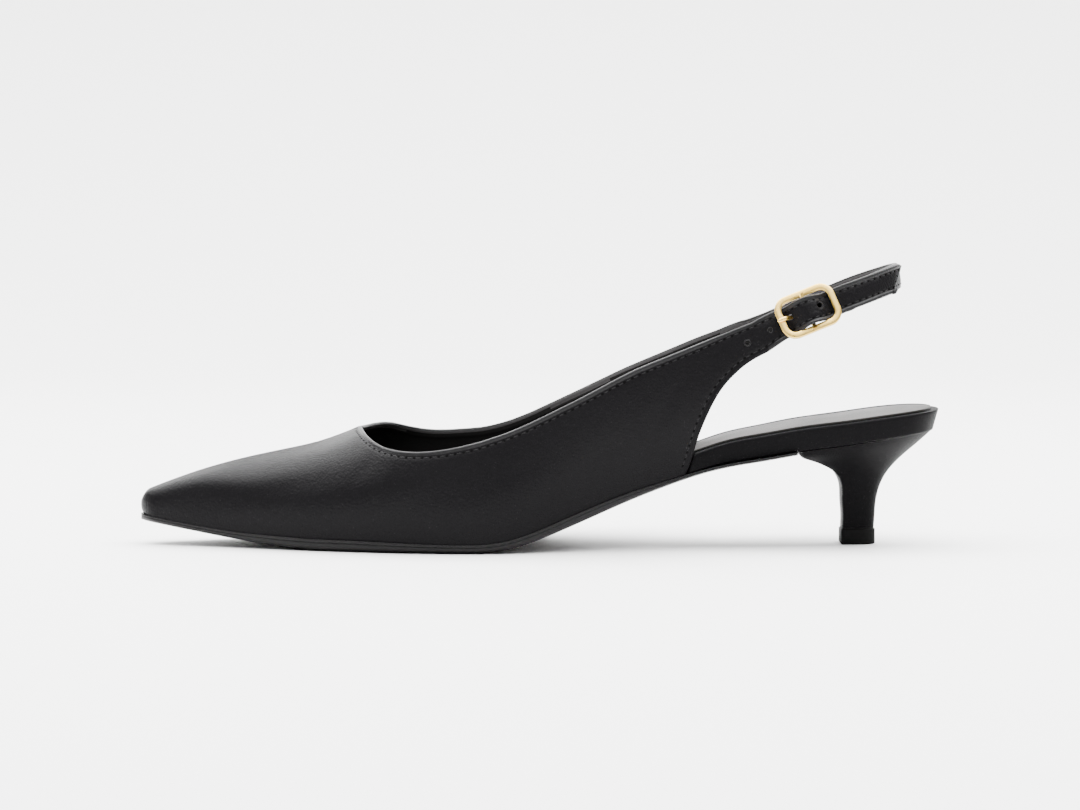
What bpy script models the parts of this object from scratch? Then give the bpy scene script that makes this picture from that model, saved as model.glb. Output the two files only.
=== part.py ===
"""A left slingback pump with a kitten heel, built on one last that is worked out from named sizes.

Everything is in metres, +Z up. The toe points along -X and the outer side of the foot is at -Y. Stations
along the shoe are counted from the toe's tip, and the origin is under the middle of the heel tip.
"""

import math

import bmesh
import bpy
import numpy as np
from mathutils import Matrix, Vector

# Sizes of the last
LENGTH = 0.2644
HALF_BALL = 0.0376
INSTEP = 0.060
HEEL_RISE = 0.0376
TOE_SPRING = 0.0082
TOE_SPRING_END = 0.2269 * LENGTH
TOE_SPRING_POWER = 1.43
TOE_ROUND = 0.005
TOE_DROP = 0.32
SEAT_ROUND = 0.0244
SEAT_ROUND_POWER = 2.4

# Sizes of the sole, the insole and the heel
WELT_THICKNESS = 0.004
EDGE_WIDTH = 0.0048
EDGE_RISE = 0.0018
SOLE_END = 0.8181 * LENGTH
PLATFORM = 0.0070
PLATFORM_START = 0.6838 * LENGTH
PLATFORM_LEAN = 0.0024
PLATFORM_FADE = 0.012
STEP_HALF = 0.0002
BOARD_ROUND = 0.0008
BOARD_TAPER = 0.0018
SOCK_THICKNESS = 0.0007
SOCK_START = 0.0756 * LENGTH
SOCK_INSET = 0.0026
HEEL_CENTRE = 0.9002 * LENGTH
HEEL_START = 0.8208 * LENGTH
SEAT_SHIFT = 0.0008
TIP_HEIGHT = 0.0056
TIP_LENGTH = 0.0116
TIP_WIDTH = 0.0114
NECK_LENGTH = 0.0108
NECK_WIDTH = 0.0109
HEEL_STRAIGHT = 0.42
HEEL_BACK_POWER = 2.2
HEEL_EDGE = 0.93
HEEL_BACK = 0.993
HEEL_TOP = 0.617

# Sizes of the leather and the straps
WALL = 0.0015
STRAP_WIDTH = 0.0081
ROOT_WIDTH = 0.0105
FLARE_LENGTH = 0.014
STRAP_THICKNESS = 0.0016
SKIVED = 0.001
ROOT_TOP = 0.7583 * LENGTH
ROOT_SLOPE = math.radians(22.5)
ROOT_TILT = math.radians(27.9)
LOOP_DEPTH = 0.0467
LOOP_RISE = 0.0208
BUCKLE_LEAN = math.radians(11)
HOLE_WIDTH = 0.0018
HOLE_PITCH = 0.0084
PRONG_HOLE = -0.0048
TAIL_REACH = 0.0355
TAIL_SLANT = 0.0024
TAIL_LIFT = 0.0005
FOLD_LENGTH = 0.0115

# How the upper's ruled lines fan out under the throat
FAN_BEFORE = 0.083 * LENGTH
FAN_FOOT = 0.068 * LENGTH
TOE_SHARES = (0, 0.006, 0.018, 0.038, 0.068, 0.11, 0.17, 0.24, 0.33, 0.43, 0.54, 0.66, 0.78, 0.90)
BALL_ROW = 6
WAIST_ROW = 11

# Sizes of the buckle
BUCKLE_LENGTH = 0.0200
BUCKLE_WIDTH = 0.0142
BUCKLE_CORNER = 0.0045
WIRE_WIDTH = 0.0018
WIRE_HEIGHT = 0.0012
BAR_RADIUS = 0.0007
BAR_LIFT = 0.0027
BAR_FROM_ROOT = 0.0176
BUCKLE_SHIFT = -0.0003
PRONG_WIDTH = 0.0014
PRONG_HEIGHT = 0.0010
PRONG_OVERHANG = 0.0006

# The slots for the prong in both straps, in the buckle's frame: along the strap, and out from the bar
STRAP_SLOT = (-0.0072, -0.0022)
STRAP_SLOT_DEPTH = (-0.0007, 0.0022)
SLING_SLOT = (-0.0030, 0.0026)
SLING_SLOT_DEPTH = (-0.0034, 0.0019)

# Clearances between pieces
SEAT_GAP = 0.0003
FIT_GAP = 0.0003
WRAP_GAP = 0.00015

# Each station's distance from the toe as a share of LENGTH, then the shares of HALF_BALL to each side
PLAN = (
    # at, outer, inner
    (0.000, 0.146, 0.146),
    (0.076, 0.335, 0.335),
    (0.151, 0.548, 0.537),
    (0.227, 0.758, 0.755),
    (0.303, 0.920, 0.965),
    (0.348, 0.985, 1.045),
    (0.393, 1.028, 1.070),
    (0.454, 1.015, 0.970),
    (0.492, 0.960, 0.800),
    (0.535, 0.875, 0.555),
    (0.580, 0.785, 0.405),
    (0.624, 0.705, 0.340),
    (0.662, 0.660, 0.330),
    (0.719, 0.645, 0.410),
    (0.775, 0.670, 0.525),
    (0.832, 0.705, 0.618),
    (0.908, 0.720, 0.672),
    (1.000, 0.720, 0.678),
)

# How far round the sole's lower edge each of its points lies
EDGE_CURVE = (0.0, 0.22, 0.55, 1.0)

# The sole's thickness as a share of WELT_THICKNESS
THICKNESS = (
    # at, thick
    (0.000, 0.53),
    (0.076, 0.62),
    (0.129, 0.74),
    (0.182, 0.96),
    (0.227, 1.04),
    (0.284, 1.00),
    (0.340, 0.88),
    (0.397, 0.80),
    (0.454, 0.83),
    (0.511, 0.93),
    (0.567, 0.94),
    (0.605, 0.83),
    (0.643, 0.64),
    (0.681, 0.48),
    (0.738, 0.38),
    (0.817, 0.33),
    (1.000, 0.33),
)

# The height of the sole's underside behind the tread as a share of HEEL_RISE
ARCH = (
    # at, rise
    (0.427, 0.000),
    (0.454, 0.019),
    (0.484, 0.070),
    (0.518, 0.157),
    (0.552, 0.254),
    (0.586, 0.355),
    (0.624, 0.463),
    (0.662, 0.562),
    (0.700, 0.652),
    (0.738, 0.718),
    (0.783, 0.774),
    (0.817, 0.819),
    (0.877, 0.878),
    (0.934, 0.939),
    (1.000, 1.000),
)

# The insole's thickness as a share of PLATFORM
BOARD = (
    # at, thick
    (0.000, 0.22),
    (0.380, 0.26),
    (0.480, 0.38),
    (0.570, 0.62),
    (0.650, 0.90),
    (0.720, 1.00),
    (0.900, 1.02),
    (0.960, 0.97),
    (1.000, 0.90),
)

# Four points up each section of the last above the sole's edge: out as a share of HALF_BALL, up as a share
# of INSTEP. Behind the throat the fourth point only steers the wall, which the topline cuts lower down.
OUTER_SECTIONS = (
    # at, out1, up1, out2, up2, out3, up3, out4, up4
    (0.000, 0.157, 0.035, 0.149, 0.075, 0.106, 0.105, 0.000, 0.117),
    (0.038, 0.258, 0.065, 0.250, 0.135, 0.176, 0.188, 0.000, 0.210),
    (0.076, 0.360, 0.091, 0.346, 0.191, 0.255, 0.259, 0.000, 0.294),
    (0.132, 0.532, 0.117, 0.503, 0.238, 0.351, 0.328, 0.000, 0.390),
    (0.189, 0.713, 0.140, 0.665, 0.282, 0.452, 0.390, 0.000, 0.457),
    (0.276, 0.941, 0.167, 0.872, 0.358, 0.572, 0.517, 0.000, 0.588),
    (0.359, 1.078, 0.202, 1.035, 0.427, 0.798, 0.643, 0.213, 0.777),
    (0.454, 1.080, 0.234, 1.035, 0.484, 0.904, 0.734, 0.532, 0.934),
    (0.548, 0.963, 0.238, 0.989, 0.488, 0.918, 0.754, 0.718, 1.004),
    (0.624, 0.878, 0.228, 0.926, 0.495, 0.878, 0.795, 0.745, 1.062),
    (0.700, 0.846, 0.228, 0.894, 0.495, 0.846, 0.762, 0.745, 1.028),
    (0.794, 0.864, 0.217, 0.950, 0.467, 0.950, 0.717, 0.890, 0.983),
)

INNER_SECTIONS = (
    # at, out1, up1, out2, up2, out3, up3, out4, up4
    (0.000, 0.157, 0.035, 0.149, 0.075, 0.106, 0.105, 0.000, 0.117),
    (0.038, 0.258, 0.065, 0.250, 0.135, 0.176, 0.188, 0.000, 0.210),
    (0.076, 0.359, 0.091, 0.346, 0.191, 0.255, 0.259, 0.000, 0.294),
    (0.132, 0.519, 0.117, 0.495, 0.242, 0.351, 0.332, 0.000, 0.390),
    (0.189, 0.699, 0.140, 0.660, 0.287, 0.452, 0.393, 0.000, 0.457),
    (0.276, 0.950, 0.175, 0.883, 0.370, 0.585, 0.523, 0.000, 0.588),
    (0.359, 1.122, 0.218, 1.074, 0.460, 0.838, 0.677, 0.213, 0.810),
    (0.454, 1.118, 0.251, 1.085, 0.501, 0.957, 0.767, 0.585, 0.967),
    (0.548, 0.905, 0.238, 1.010, 0.488, 0.973, 0.738, 0.771, 1.004),
    (0.624, 0.745, 0.212, 0.925, 0.462, 0.915, 0.745, 0.771, 1.045),
    (0.700, 0.715, 0.220, 0.845, 0.478, 0.835, 0.745, 0.745, 1.012),
    (0.794, 0.720, 0.233, 0.755, 0.483, 0.738, 0.733, 0.660, 0.983),
)

# The topline from the middle of the throat to the strap: place along the shoe, share of the way up there
OUTER_TOPLINE = (
    # at, up
    (0.2750, 1.000),
    (0.2790, 0.915),
    (0.2845, 0.825),
    (0.2960, 0.716),
    (0.3175, 0.628),
    (0.3489, 0.580),
    (0.386, 0.564),
    (0.414, 0.568),
    (0.441, 0.580),
    (0.489, 0.600),
    (0.529, 0.614),
    (0.570, 0.622),
    (0.610, 0.632),
    (0.650, 0.648),
    (0.691, 0.679),
    (0.731, 0.729),
)

INNER_TOPLINE = (
    # at, up
    (0.275, 1.000),
    (0.279, 0.935),
    (0.292, 0.840),
    (0.308, 0.750),
    (0.334, 0.634),
    (0.363, 0.571),
    (0.393, 0.550),
    (0.422, 0.546),
    (0.461, 0.557),
    (0.488, 0.568),
    (0.531, 0.591),
    (0.574, 0.618),
    (0.616, 0.643),
    (0.659, 0.661),
    (0.702, 0.682),
    (0.737, 0.710),
)

# The quarter's rear edge from the sole to the strap
REAR_EDGE = (
    # at, up
    (0.680, 0.000),
    (0.685, 0.069),
    (0.690, 0.150),
    (0.695, 0.225),
    (0.701, 0.292),
    (0.708, 0.354),
    (0.721, 0.440),
    (0.738, 0.510),
    (0.755, 0.564),
)

# The heel below its seat: height as a share of HEEL_RISE above the tip, front and back as shares of LENGTH,
# half width as a share of HALF_BALL
HEEL = (
    # front height, back height, front, back, half
    (0.650, 0.800, 0.8245, 0.9815, 0.545),
    (0.608, 0.690, 0.8390, 0.9637, 0.439),
    (0.558, 0.602, 0.8556, 0.9501, 0.351),
    (0.494, 0.505, 0.8692, 0.9380, 0.266),
    (0.415, 0.415, 0.8763, 0.9304, 0.213),
    (0.330, 0.330, 0.8787, 0.9259, 0.184),
    (0.223, 0.223, 0.8790, 0.9228, 0.168),
    (0.117, 0.117, 0.8801, 0.9217, 0.154),
)

# The straps' way from the inner root round the heel to the outer root: back as a share of LOOP_DEPTH, side
# as a share of half the distance between the roots, up as a share of LOOP_RISE
ROUTE = (
    # back, side, up
    (0.260, 0.915, 0.288),
    (0.524, 0.705, 0.560),
    (0.737, 0.510, 0.775),
    (0.894, 0.320, 0.910),
    (0.976, 0.140, 0.980),
    (1.000, -0.048, 1.000),
    (0.976, -0.281, 0.985),
    (0.902, -0.511, 0.930),
    (0.772, -0.730, 0.822),
    (0.605, -0.890, 0.680),
    (0.443, -0.977, 0.550),
    (0.320, -1.003, 0.450),
    (0.189, -1.007, 0.305),
    (0.090, -1.004, 0.195),
)

# How far the strap leans in towards the foot along its way, as a share of BUCKLE_LEAN
LEAN = (
    # way, lean
    (0.000, 0.000),
    (0.150, 0.150),
    (0.500, 0.400),
    (0.720, 0.800),
    (0.860, 1.000),
    (0.930, 0.700),
    (1.000, 0.000),
)

# The middle of the sling strap near the buckle: distance behind the bar as a share of BUCKLE_LENGTH, and
# height over the route as a share of BAR_LIFT
SLING_RISE = (
    # behind, over
    (0.800, 0.300),
    (0.600, 0.290),
    (0.425, 0.200),
    (0.300, 0.330),
    (0.200, 0.740),
    (0.110, 1.280),
)

SLING_FOLD = (
    # behind, over
    (0.110, 0.330),
    (0.200, 0.060),
    (0.300, -0.190),
    (0.425, -0.250),
)

# The middle of the outer strap over the buckle, from its root to the tail
TAIL_RISE = (
    # behind, over
    (-0.560, 0.290),
    (-0.425, 0.330),
    (-0.300, 0.700),
    (-0.200, 1.170),
    (-0.100, 1.720),
    (0.000, 1.960),
    (0.100, 1.800),
    (0.200, 1.300),
    (0.300, 0.860),
    (0.410, 0.660),
    (0.520, 0.670),
    (0.680, 0.860),
    (0.900, 0.940),
)

# The outer strap's width behind the bar, as shares of BUCKLE_LENGTH and STRAP_WIDTH
STRAP_TAPER = (
    # behind, width
    (-0.880, 1.296),
    (-0.560, 1.185),
    (-0.300, 1.090),
    (0.000, 1.030),
    (0.500, 0.990),
    (1.840, 0.950),
)

COLOURS = {
    # name: red, green, blue, roughness, metallic
    "leather": (0.018, 0.018, 0.020, 0.42, 0.0),
    "sole_leather": (0.022, 0.021, 0.021, 0.50, 0.0),
    "sock_leather": (0.120, 0.108, 0.100, 0.45, 0.0),
    "rubber": (0.012, 0.012, 0.012, 0.60, 0.0),
    "pale_gold": (0.780, 0.640, 0.360, 0.25, 1.0),
}


def natural_spline(places, values):
    """A smooth function through the values given at the places."""
    xs = np.asarray(places, float)
    ys = np.asarray(values, float)
    count = len(xs)
    gap = np.diff(xs)
    system = np.eye(count)
    right = np.zeros(count)
    for i in range(1, count - 1):
        system[i, i - 1 : i + 2] = gap[i - 1], 2 * (gap[i - 1] + gap[i]), gap[i]
        right[i] = 6 * ((ys[i + 1] - ys[i]) / gap[i] - (ys[i] - ys[i - 1]) / gap[i - 1])
    bend = np.linalg.solve(system, right)

    def value(x):
        x = np.clip(np.asarray(x, float), xs[0], xs[-1])
        i = np.clip(np.searchsorted(xs, x) - 1, 0, count - 2)
        left = x - xs[i]
        rest = xs[i + 1] - x
        cubic = (bend[i] * rest**3 + bend[i + 1] * left**3) / (6 * gap[i])
        straight = (ys[i] * rest + ys[i + 1] * left) / gap[i]
        return cubic + straight - gap[i] / 6 * (bend[i] * rest + bend[i + 1] * left)

    return value


def columns(table):
    """One smooth function of the first column for each further column of a table."""
    rows = np.array(table)
    return [natural_spline(rows[:, 0], rows[:, i]) for i in range(1, rows.shape[1])]


plan_outer, plan_inner = columns(PLAN)
(sole_share,) = columns(THICKNESS)
(arch_share,) = columns(ARCH)
(board_share,) = columns(BOARD)
KNOTS = np.linspace(0, 1, 5)
blend = [natural_spline(KNOTS, row) for row in np.eye(5)]
sections = {-1: columns(OUTER_SECTIONS), 1: columns(INNER_SECTIONS)}


def toe_factor(x, inset=0.0):
    """Rounds the toe's tip in plan, for the outline or for one a little inside it."""
    share = np.clip((TOE_ROUND - x) / (TOE_ROUND - inset), 0, 1)
    return np.sqrt(1 - share**2)


def seat_factor(x, inset=0.0):
    """Rounds the seat behind the heel in plan, for the outline or for one a little inside it."""
    share = np.clip((x - LENGTH + SEAT_ROUND) / (SEAT_ROUND - inset), 0, 1)
    return (1 - share**SEAT_ROUND_POWER) ** (1 / SEAT_ROUND_POWER)


def half_width(x, side, inset=0.0):
    share = plan_outer(x / LENGTH) if side < 0 else plan_inner(x / LENGTH)
    return (HALF_BALL * share - inset) * toe_factor(x, inset) * seat_factor(x, inset)


def sole_bottom(x):
    spring = TOE_SPRING * np.clip(1 - x / TOE_SPRING_END, 0, 1) ** TOE_SPRING_POWER
    return np.maximum(spring, HEEL_RISE * np.maximum(arch_share(x / LENGTH), 0))


def seat_line(x):
    """The height at which the upper, the insole and the heel meet the sole's top."""
    return sole_bottom(x) + WELT_THICKNESS * sole_share(x / LENGTH)


def board_top(x):
    return seat_line(x) + PLATFORM * board_share(x / LENGTH)


def last_point(x, up, side):
    """The last's surface at x from the toe, a share up its section, on the outer (-1) or inner side."""
    x, up = np.broadcast_arrays(np.asarray(x, float), np.asarray(up, float))
    round_off = toe_factor(x)
    low = 1 - TOE_DROP * (1 - round_off) ** 2
    values = [column(x / LENGTH) for column in sections[side]]
    outs = [half_width(x, side)] + [HALF_BALL * v * round_off for v in values[0::2]]
    ups = [np.zeros_like(x)] + [INSTEP * v * low for v in values[1::2]]
    weights = [function(up) for function in blend]
    out = sum(w * o for w, o in zip(weights, outs))
    height = sum(w * u for w, u in zip(weights, ups))
    return np.stack([x - HEEL_CENTRE, side * out, seat_line(x) + height], -1)


def up_at_height(x, height, side):
    """The share up the section at which the last reaches a height."""
    shares = np.linspace(0, 1, 401)
    heights = last_point(np.full(401, x), shares, side)[:, 2]
    return float(np.interp(height, heights, shares))


def strap_root(side):
    """The two ends, top and bottom, of the line where the quarter becomes the strap, as (x, up)."""
    table = OUTER_TOPLINE if side < 0 else INNER_TOPLINE
    slope = natural_spline(*np.array(table[-4:]).T)
    before = last_point(table[-1][0] * LENGTH, slope(table[-1][0]), side)
    run = ROOT_TOP - table[-1][0] * LENGTH
    top_height = before[2] + run * math.tan(ROOT_SLOPE)
    bottom = ROOT_TOP + ROOT_WIDTH * math.sin(ROOT_TILT)
    bottom_height = top_height - ROOT_WIDTH * math.cos(ROOT_TILT)
    return (
        (ROOT_TOP, up_at_height(ROOT_TOP, top_height, side)),
        (bottom, up_at_height(bottom, bottom_height, side)),
    )


def edge_curve(table, end):
    """A smooth curve in (x, up) through a table's rows and a last point, as a function of 0 to 1."""
    rows = [(at * LENGTH, up) for at, up in table] + [end]
    rows = np.array(rows)
    steps = np.hypot(np.diff(rows[:, 0]) / INSTEP, np.diff(rows[:, 1]))
    along = np.concatenate([[0], np.cumsum(steps)]) / steps.sum()
    return along, natural_spline(along, rows[:, 0]), natural_spline(along, rows[:, 1])


def upper_stations(side):
    """Pairs of ends, bottom and top in (x, up), of the lines that rule one side of the upper."""
    root_top, root_bottom = strap_root(side)
    top_table = OUTER_TOPLINE if side < 0 else INNER_TOPLINE
    along, top_x, top_up = edge_curve(top_table, root_top)
    rear_along, rear_x, rear_up = edge_curve(REAR_EDGE, root_bottom)
    throat = top_table[0][0] * LENGTH
    fan = throat - FAN_BEFORE
    pairs = []
    for share in TOE_SHARES:
        pairs.append(((share * fan, 0.0), (share * fan, 1.0)))
    for share in np.linspace(0, 1, 7):
        pairs.append(((fan + share * FAN_FOOT, 0.0), (fan + share * (throat - fan), 1.0)))
    ball = float(along[BALL_ROW])
    for share in np.linspace(0, 1, 15)[1:]:
        place = share * ball
        foot = fan + FAN_FOOT
        reach = top_x(ball) - foot
        pairs.append(((foot + reach * share, 0.0), (float(top_x(place)), float(top_up(place)))))
    waist = float(along[WAIST_ROW])
    for share in np.linspace(0, 1, 10)[1:]:
        place = ball + share * (waist - ball)
        start = float(top_x(ball))
        low = start + share * (float(top_x(waist)) - start)
        pairs.append(((low, 0.0), (float(top_x(place)), float(top_up(place)))))
    start = float(top_x(waist))
    corner = REAR_EDGE[0][0] * LENGTH
    lows = [(start + s * (corner - start), 0.0) for s in np.linspace(0, 1, 7)[1:]]
    lows += [(float(rear_x(s)), float(rear_up(s))) for s in np.linspace(0, 1, 13)[1:]]
    for low, share in zip(lows, np.linspace(0, 1, len(lows) + 1)[1:]):
        place = waist + share * (1 - waist)
        pairs.append((low, (float(top_x(place)), float(top_up(place)))))
    return pairs


def upper_grid(side, rows=13):
    """Points of one side of the upper, a row of them for each station, from its lower to its upper edge."""
    share = np.linspace(0, 1, rows)
    grid = []
    for (x0, up0), (x1, up1) in upper_stations(side):
        grid.append(last_point(x0 + share * (x1 - x0), up0 + share * (up1 - up0), side))
    return np.array(grid)


def material(name):
    red, green, blue, roughness, metallic = COLOURS[name]
    made = bpy.data.materials.get(name) or bpy.data.materials.new(name)
    made.use_nodes = True
    shader = made.node_tree.nodes["Principled BSDF"]
    shader.inputs["Base Color"].default_value = (red, green, blue, 1)
    shader.inputs["Roughness"].default_value = roughness
    shader.inputs["Metallic"].default_value = metallic
    made.diffuse_color = (red, green, blue, 1)
    return made


def object_from(bm, name, collection, look, crease=50):
    bmesh.ops.recalc_face_normals(bm, faces=bm.faces)
    mesh = bpy.data.meshes.new(name)
    bm.to_mesh(mesh)
    bm.free()
    mesh.shade_smooth()
    mesh.set_sharp_from_angle(angle=math.radians(crease))
    mesh.materials.append(material(look))
    made = bpy.data.objects.new(name, mesh)
    collection.objects.link(made)
    return made


def loft(rings, name, collection, look, closed=False):
    """A solid through rings of as many points each, capped at both ends unless it closes on itself."""
    bm = bmesh.new()
    verts = [[bm.verts.new(point) for point in ring] for ring in rings]
    count = len(verts[0])
    pairs = list(zip(verts, verts[1:] + verts[:1])) if closed else list(zip(verts, verts[1:]))
    for first, second in pairs:
        for i in range(count):
            j = (i + 1) % count
            bm.faces.new((first[i], first[j], second[j], second[i]))
    if not closed:
        bm.faces.new(verts[0])
        bm.faces.new(verts[-1])
    return object_from(bm, name, collection, look)


def add_boolean(target, cutter, operation="DIFFERENCE", solver="EXACT"):
    modifier = target.modifiers.new(cutter.name, "BOOLEAN")
    modifier.operation = operation
    modifier.object = cutter
    modifier.solver = solver


def stations_between(start, end, step, tip_round=0.0, end_round=0.0):
    """Even stations, drawn together where the plan is rounded at either end."""
    middle = np.linspace(start + tip_round, end - end_round, max(2, round((end - start) / step)))
    front = start + tip_round * (1 - np.cos(np.linspace(0.06, math.pi / 2, 8))) if tip_round else []
    back = end - end_round * (1 - np.sin(np.linspace(0, math.pi / 2 - 0.10, 10))) if end_round else []
    return np.concatenate([front[:-1], middle, back[1:]])


def build_outsole(collection):
    rings = []
    for x in stations_between(0.0, SOLE_END, 0.005, tip_round=TOE_ROUND):
        low = float(sole_bottom(x))
        high = float(seat_line(x)) - SEAT_GAP
        rise = min(EDGE_RISE, 0.55 * (high - low))
        ring = []
        for side in (-1, 1):
            width = float(half_width(x, side))
            under = min(EDGE_WIDTH, 0.4 * width)
            points = [(side * width, high)]
            for share in EDGE_CURVE:
                points.append((side * (width - under * share), low + rise * (1 - share) ** 2))
            ring += points if side < 0 else points[::-1]
        rings.append([(x - HEEL_CENTRE, y, z) for y, z in ring])
    return loft(rings, "outsole", collection, "sole_leather")


def insole_inset(x):
    """Inside the upper's wall as far as the quarters reach, and out to the sole's edge behind them."""
    return WALL + FIT_GAP if x < PLATFORM_START else 0.0


def platform_lean(x):
    """How far the insole's top lies behind its foot where the quarters end on it."""
    return PLATFORM_LEAN * math.exp(-(((x - PLATFORM_START) / PLATFORM_FADE) ** 2))


def board_foot(x):
    """Where the insole's underside lies for a place on its top, and how much narrower it is there."""
    behind = np.clip((x - PLATFORM_START - STEP_HALF) / PLATFORM_FADE, 0, 1)
    back = np.clip((x - LENGTH + SEAT_ROUND) / SEAT_ROUND, 0, 1)
    return float(x - BOARD_TAPER * back**2), float(1 - behind * BOARD_TAPER / (0.72 * HALF_BALL))


def build_insole(collection):
    toe = WALL + FIT_GAP
    front = stations_between(toe, PLATFORM_START - STEP_HALF, 0.006, tip_round=TOE_ROUND - toe)
    back = stations_between(PLATFORM_START + STEP_HALF, LENGTH, 0.005, end_round=SEAT_ROUND)
    rings = []
    for x in np.concatenate([front, back]):
        high = float(board_top(x))
        lean = platform_lean(x)
        foot, narrow = board_foot(x)
        low = float(seat_line(foot))
        ring = []
        for side in (-1, 1):
            width = float(half_width(x, side, insole_inset(x)))
            round_off = min(BOARD_ROUND, 0.3 * width)
            points = [
                (foot, side * (narrow * width - round_off / 2), low),
                (foot, side * narrow * width, low + round_off),
                (x + lean, side * width, high - round_off),
                (x + lean, side * (width - round_off), high),
            ]
            ring += points if side > 0 else points[::-1]
        rings.append([(px - HEEL_CENTRE, y, z) for px, y, z in ring])
    return loft(rings, "insole", collection, "leather")


def build_sock(collection):
    end = LENGTH - SOCK_INSET
    rings = []
    for x in stations_between(SOCK_START, end, 0.006, end_round=SEAT_ROUND - SOCK_INSET):
        low = float(board_top(x)) + FIT_GAP
        lean = platform_lean(x)
        inset = SOCK_INSET if x > PLATFORM_START else WALL + 2 * FIT_GAP
        ring = []
        for side in (-1, 1):
            width = float(half_width(x, side, inset))
            points = [
                (x + lean, side * width, low),
                (x + lean, side * max(width - FIT_GAP, 0.5 * width), low + SOCK_THICKNESS),
            ]
            ring += points if side > 0 else points[::-1]
        rings.append([(px - HEEL_CENTRE, y, z) for px, y, z in ring])
    return loft(rings, "sock", collection, "sock_leather")


def heel_ring(front, back, half, low, high, count=15):
    """A ring with a straight front and a round back, low in front and high behind."""
    angles = np.linspace(0, math.pi / 2, count - 4)
    flank = np.linspace(0.24 * HEEL_STRAIGHT, HEEL_STRAIGHT, 3)[:-1]
    shares = [0.0, 0.02, *flank, *(HEEL_STRAIGHT + (1 - HEEL_STRAIGHT) * np.sin(angles))]
    ring = []
    for share in shares:
        over = max(0.0, (share - HEEL_STRAIGHT) / (1 - HEEL_STRAIGHT))
        width = half * (1 - over**HEEL_BACK_POWER) ** (1 / HEEL_BACK_POWER)
        if share == 0.0:
            width = HEEL_EDGE * half
        ring.append((front + share * (back - front), -width, low + share * (high - low)))
    return ring + [(x, -y, z) for x, y, z in ring[-2::-1]]


def build_heel(collection):
    rows = np.array(HEEL)
    rise = rows[:, :2] * HEEL_RISE + TIP_HEIGHT
    back = HEEL_BACK * LENGTH
    top = [float(seat_line(HEEL_START)), float(seat_line(back)), HEEL_START, back, HEEL_TOP * HALF_BALL]
    neck_front = HEEL_CENTRE - NECK_LENGTH / 2
    neck = [TIP_HEIGHT, TIP_HEIGHT, neck_front, neck_front + NECK_LENGTH, NECK_WIDTH / 2]
    body = np.column_stack([rise, rows[:, 2:4] * LENGTH, rows[:, 4] * HALF_BALL])
    levels = np.vstack([top, body, neck])
    place = np.linspace(0, 1, len(levels))
    curves = [natural_spline(place, levels[:, i]) for i in range(5)]
    rings = []
    for share in np.linspace(0, 1, 26):
        low, high, front, back, half = [float(curve(share)) for curve in curves]
        ring = heel_ring(front, back, half, low, high)
        if share == 0:
            ring = [(x, y, float(seat_line(x)) - SEAT_GAP) for x, y, z in ring]
        shift = SEAT_SHIFT * (1 - share) ** 2
        rings.append([(x - HEEL_CENTRE, y - shift, z) for x, y, z in ring])
    return loft(rings, "heel", collection, "leather")


def build_heel_tip(collection):
    rings = []
    for height, inset in ((0.0, 0.0003), (0.0004, 0.0), (TIP_HEIGHT - SEAT_GAP, 0.0)):
        front = HEEL_CENTRE - TIP_LENGTH / 2 + inset
        back = HEEL_CENTRE + TIP_LENGTH / 2 - inset
        ring = heel_ring(front, back, TIP_WIDTH / 2 - inset, height, height)
        rings.append([(x - HEEL_CENTRE, y, z) for x, y, z in ring])
    return loft(rings, "heel_tip", collection, "rubber")


def build_upper(collection, cutters):
    """Vamp and quarters: both sides ruled from the last, joined along the ridge, with the wall inwards."""
    bm = bmesh.new()
    for side in (-1, 1):
        grid = upper_grid(side)
        verts = [[bm.verts.new(point) for point in line] for line in grid]
        for first, second in zip(verts, verts[1:]):
            for i in range(len(first) - 1):
                corners = (first[i], second[i], second[i + 1], first[i + 1])
                bm.faces.new(corners if side < 0 else corners[::-1])
    bmesh.ops.remove_doubles(bm, verts=bm.verts, dist=1e-6)
    mesh = bpy.data.meshes.new("upper")
    bm.to_mesh(mesh)
    bm.free()
    mesh.shade_smooth()
    mesh.materials.append(material("leather"))
    made = bpy.data.objects.new("upper", mesh)
    collection.objects.link(made)
    wall = made.modifiers.new("Wall", "SOLIDIFY")
    wall.thickness = WALL
    wall.offset = -1
    wall.use_even_offset = True
    add_boolean(made, hole_cutter("upper_hole", 2, HOLE_WIDTH, cutters))
    return made


lean_share = natural_spline(*np.array(LEAN).T)


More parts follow.
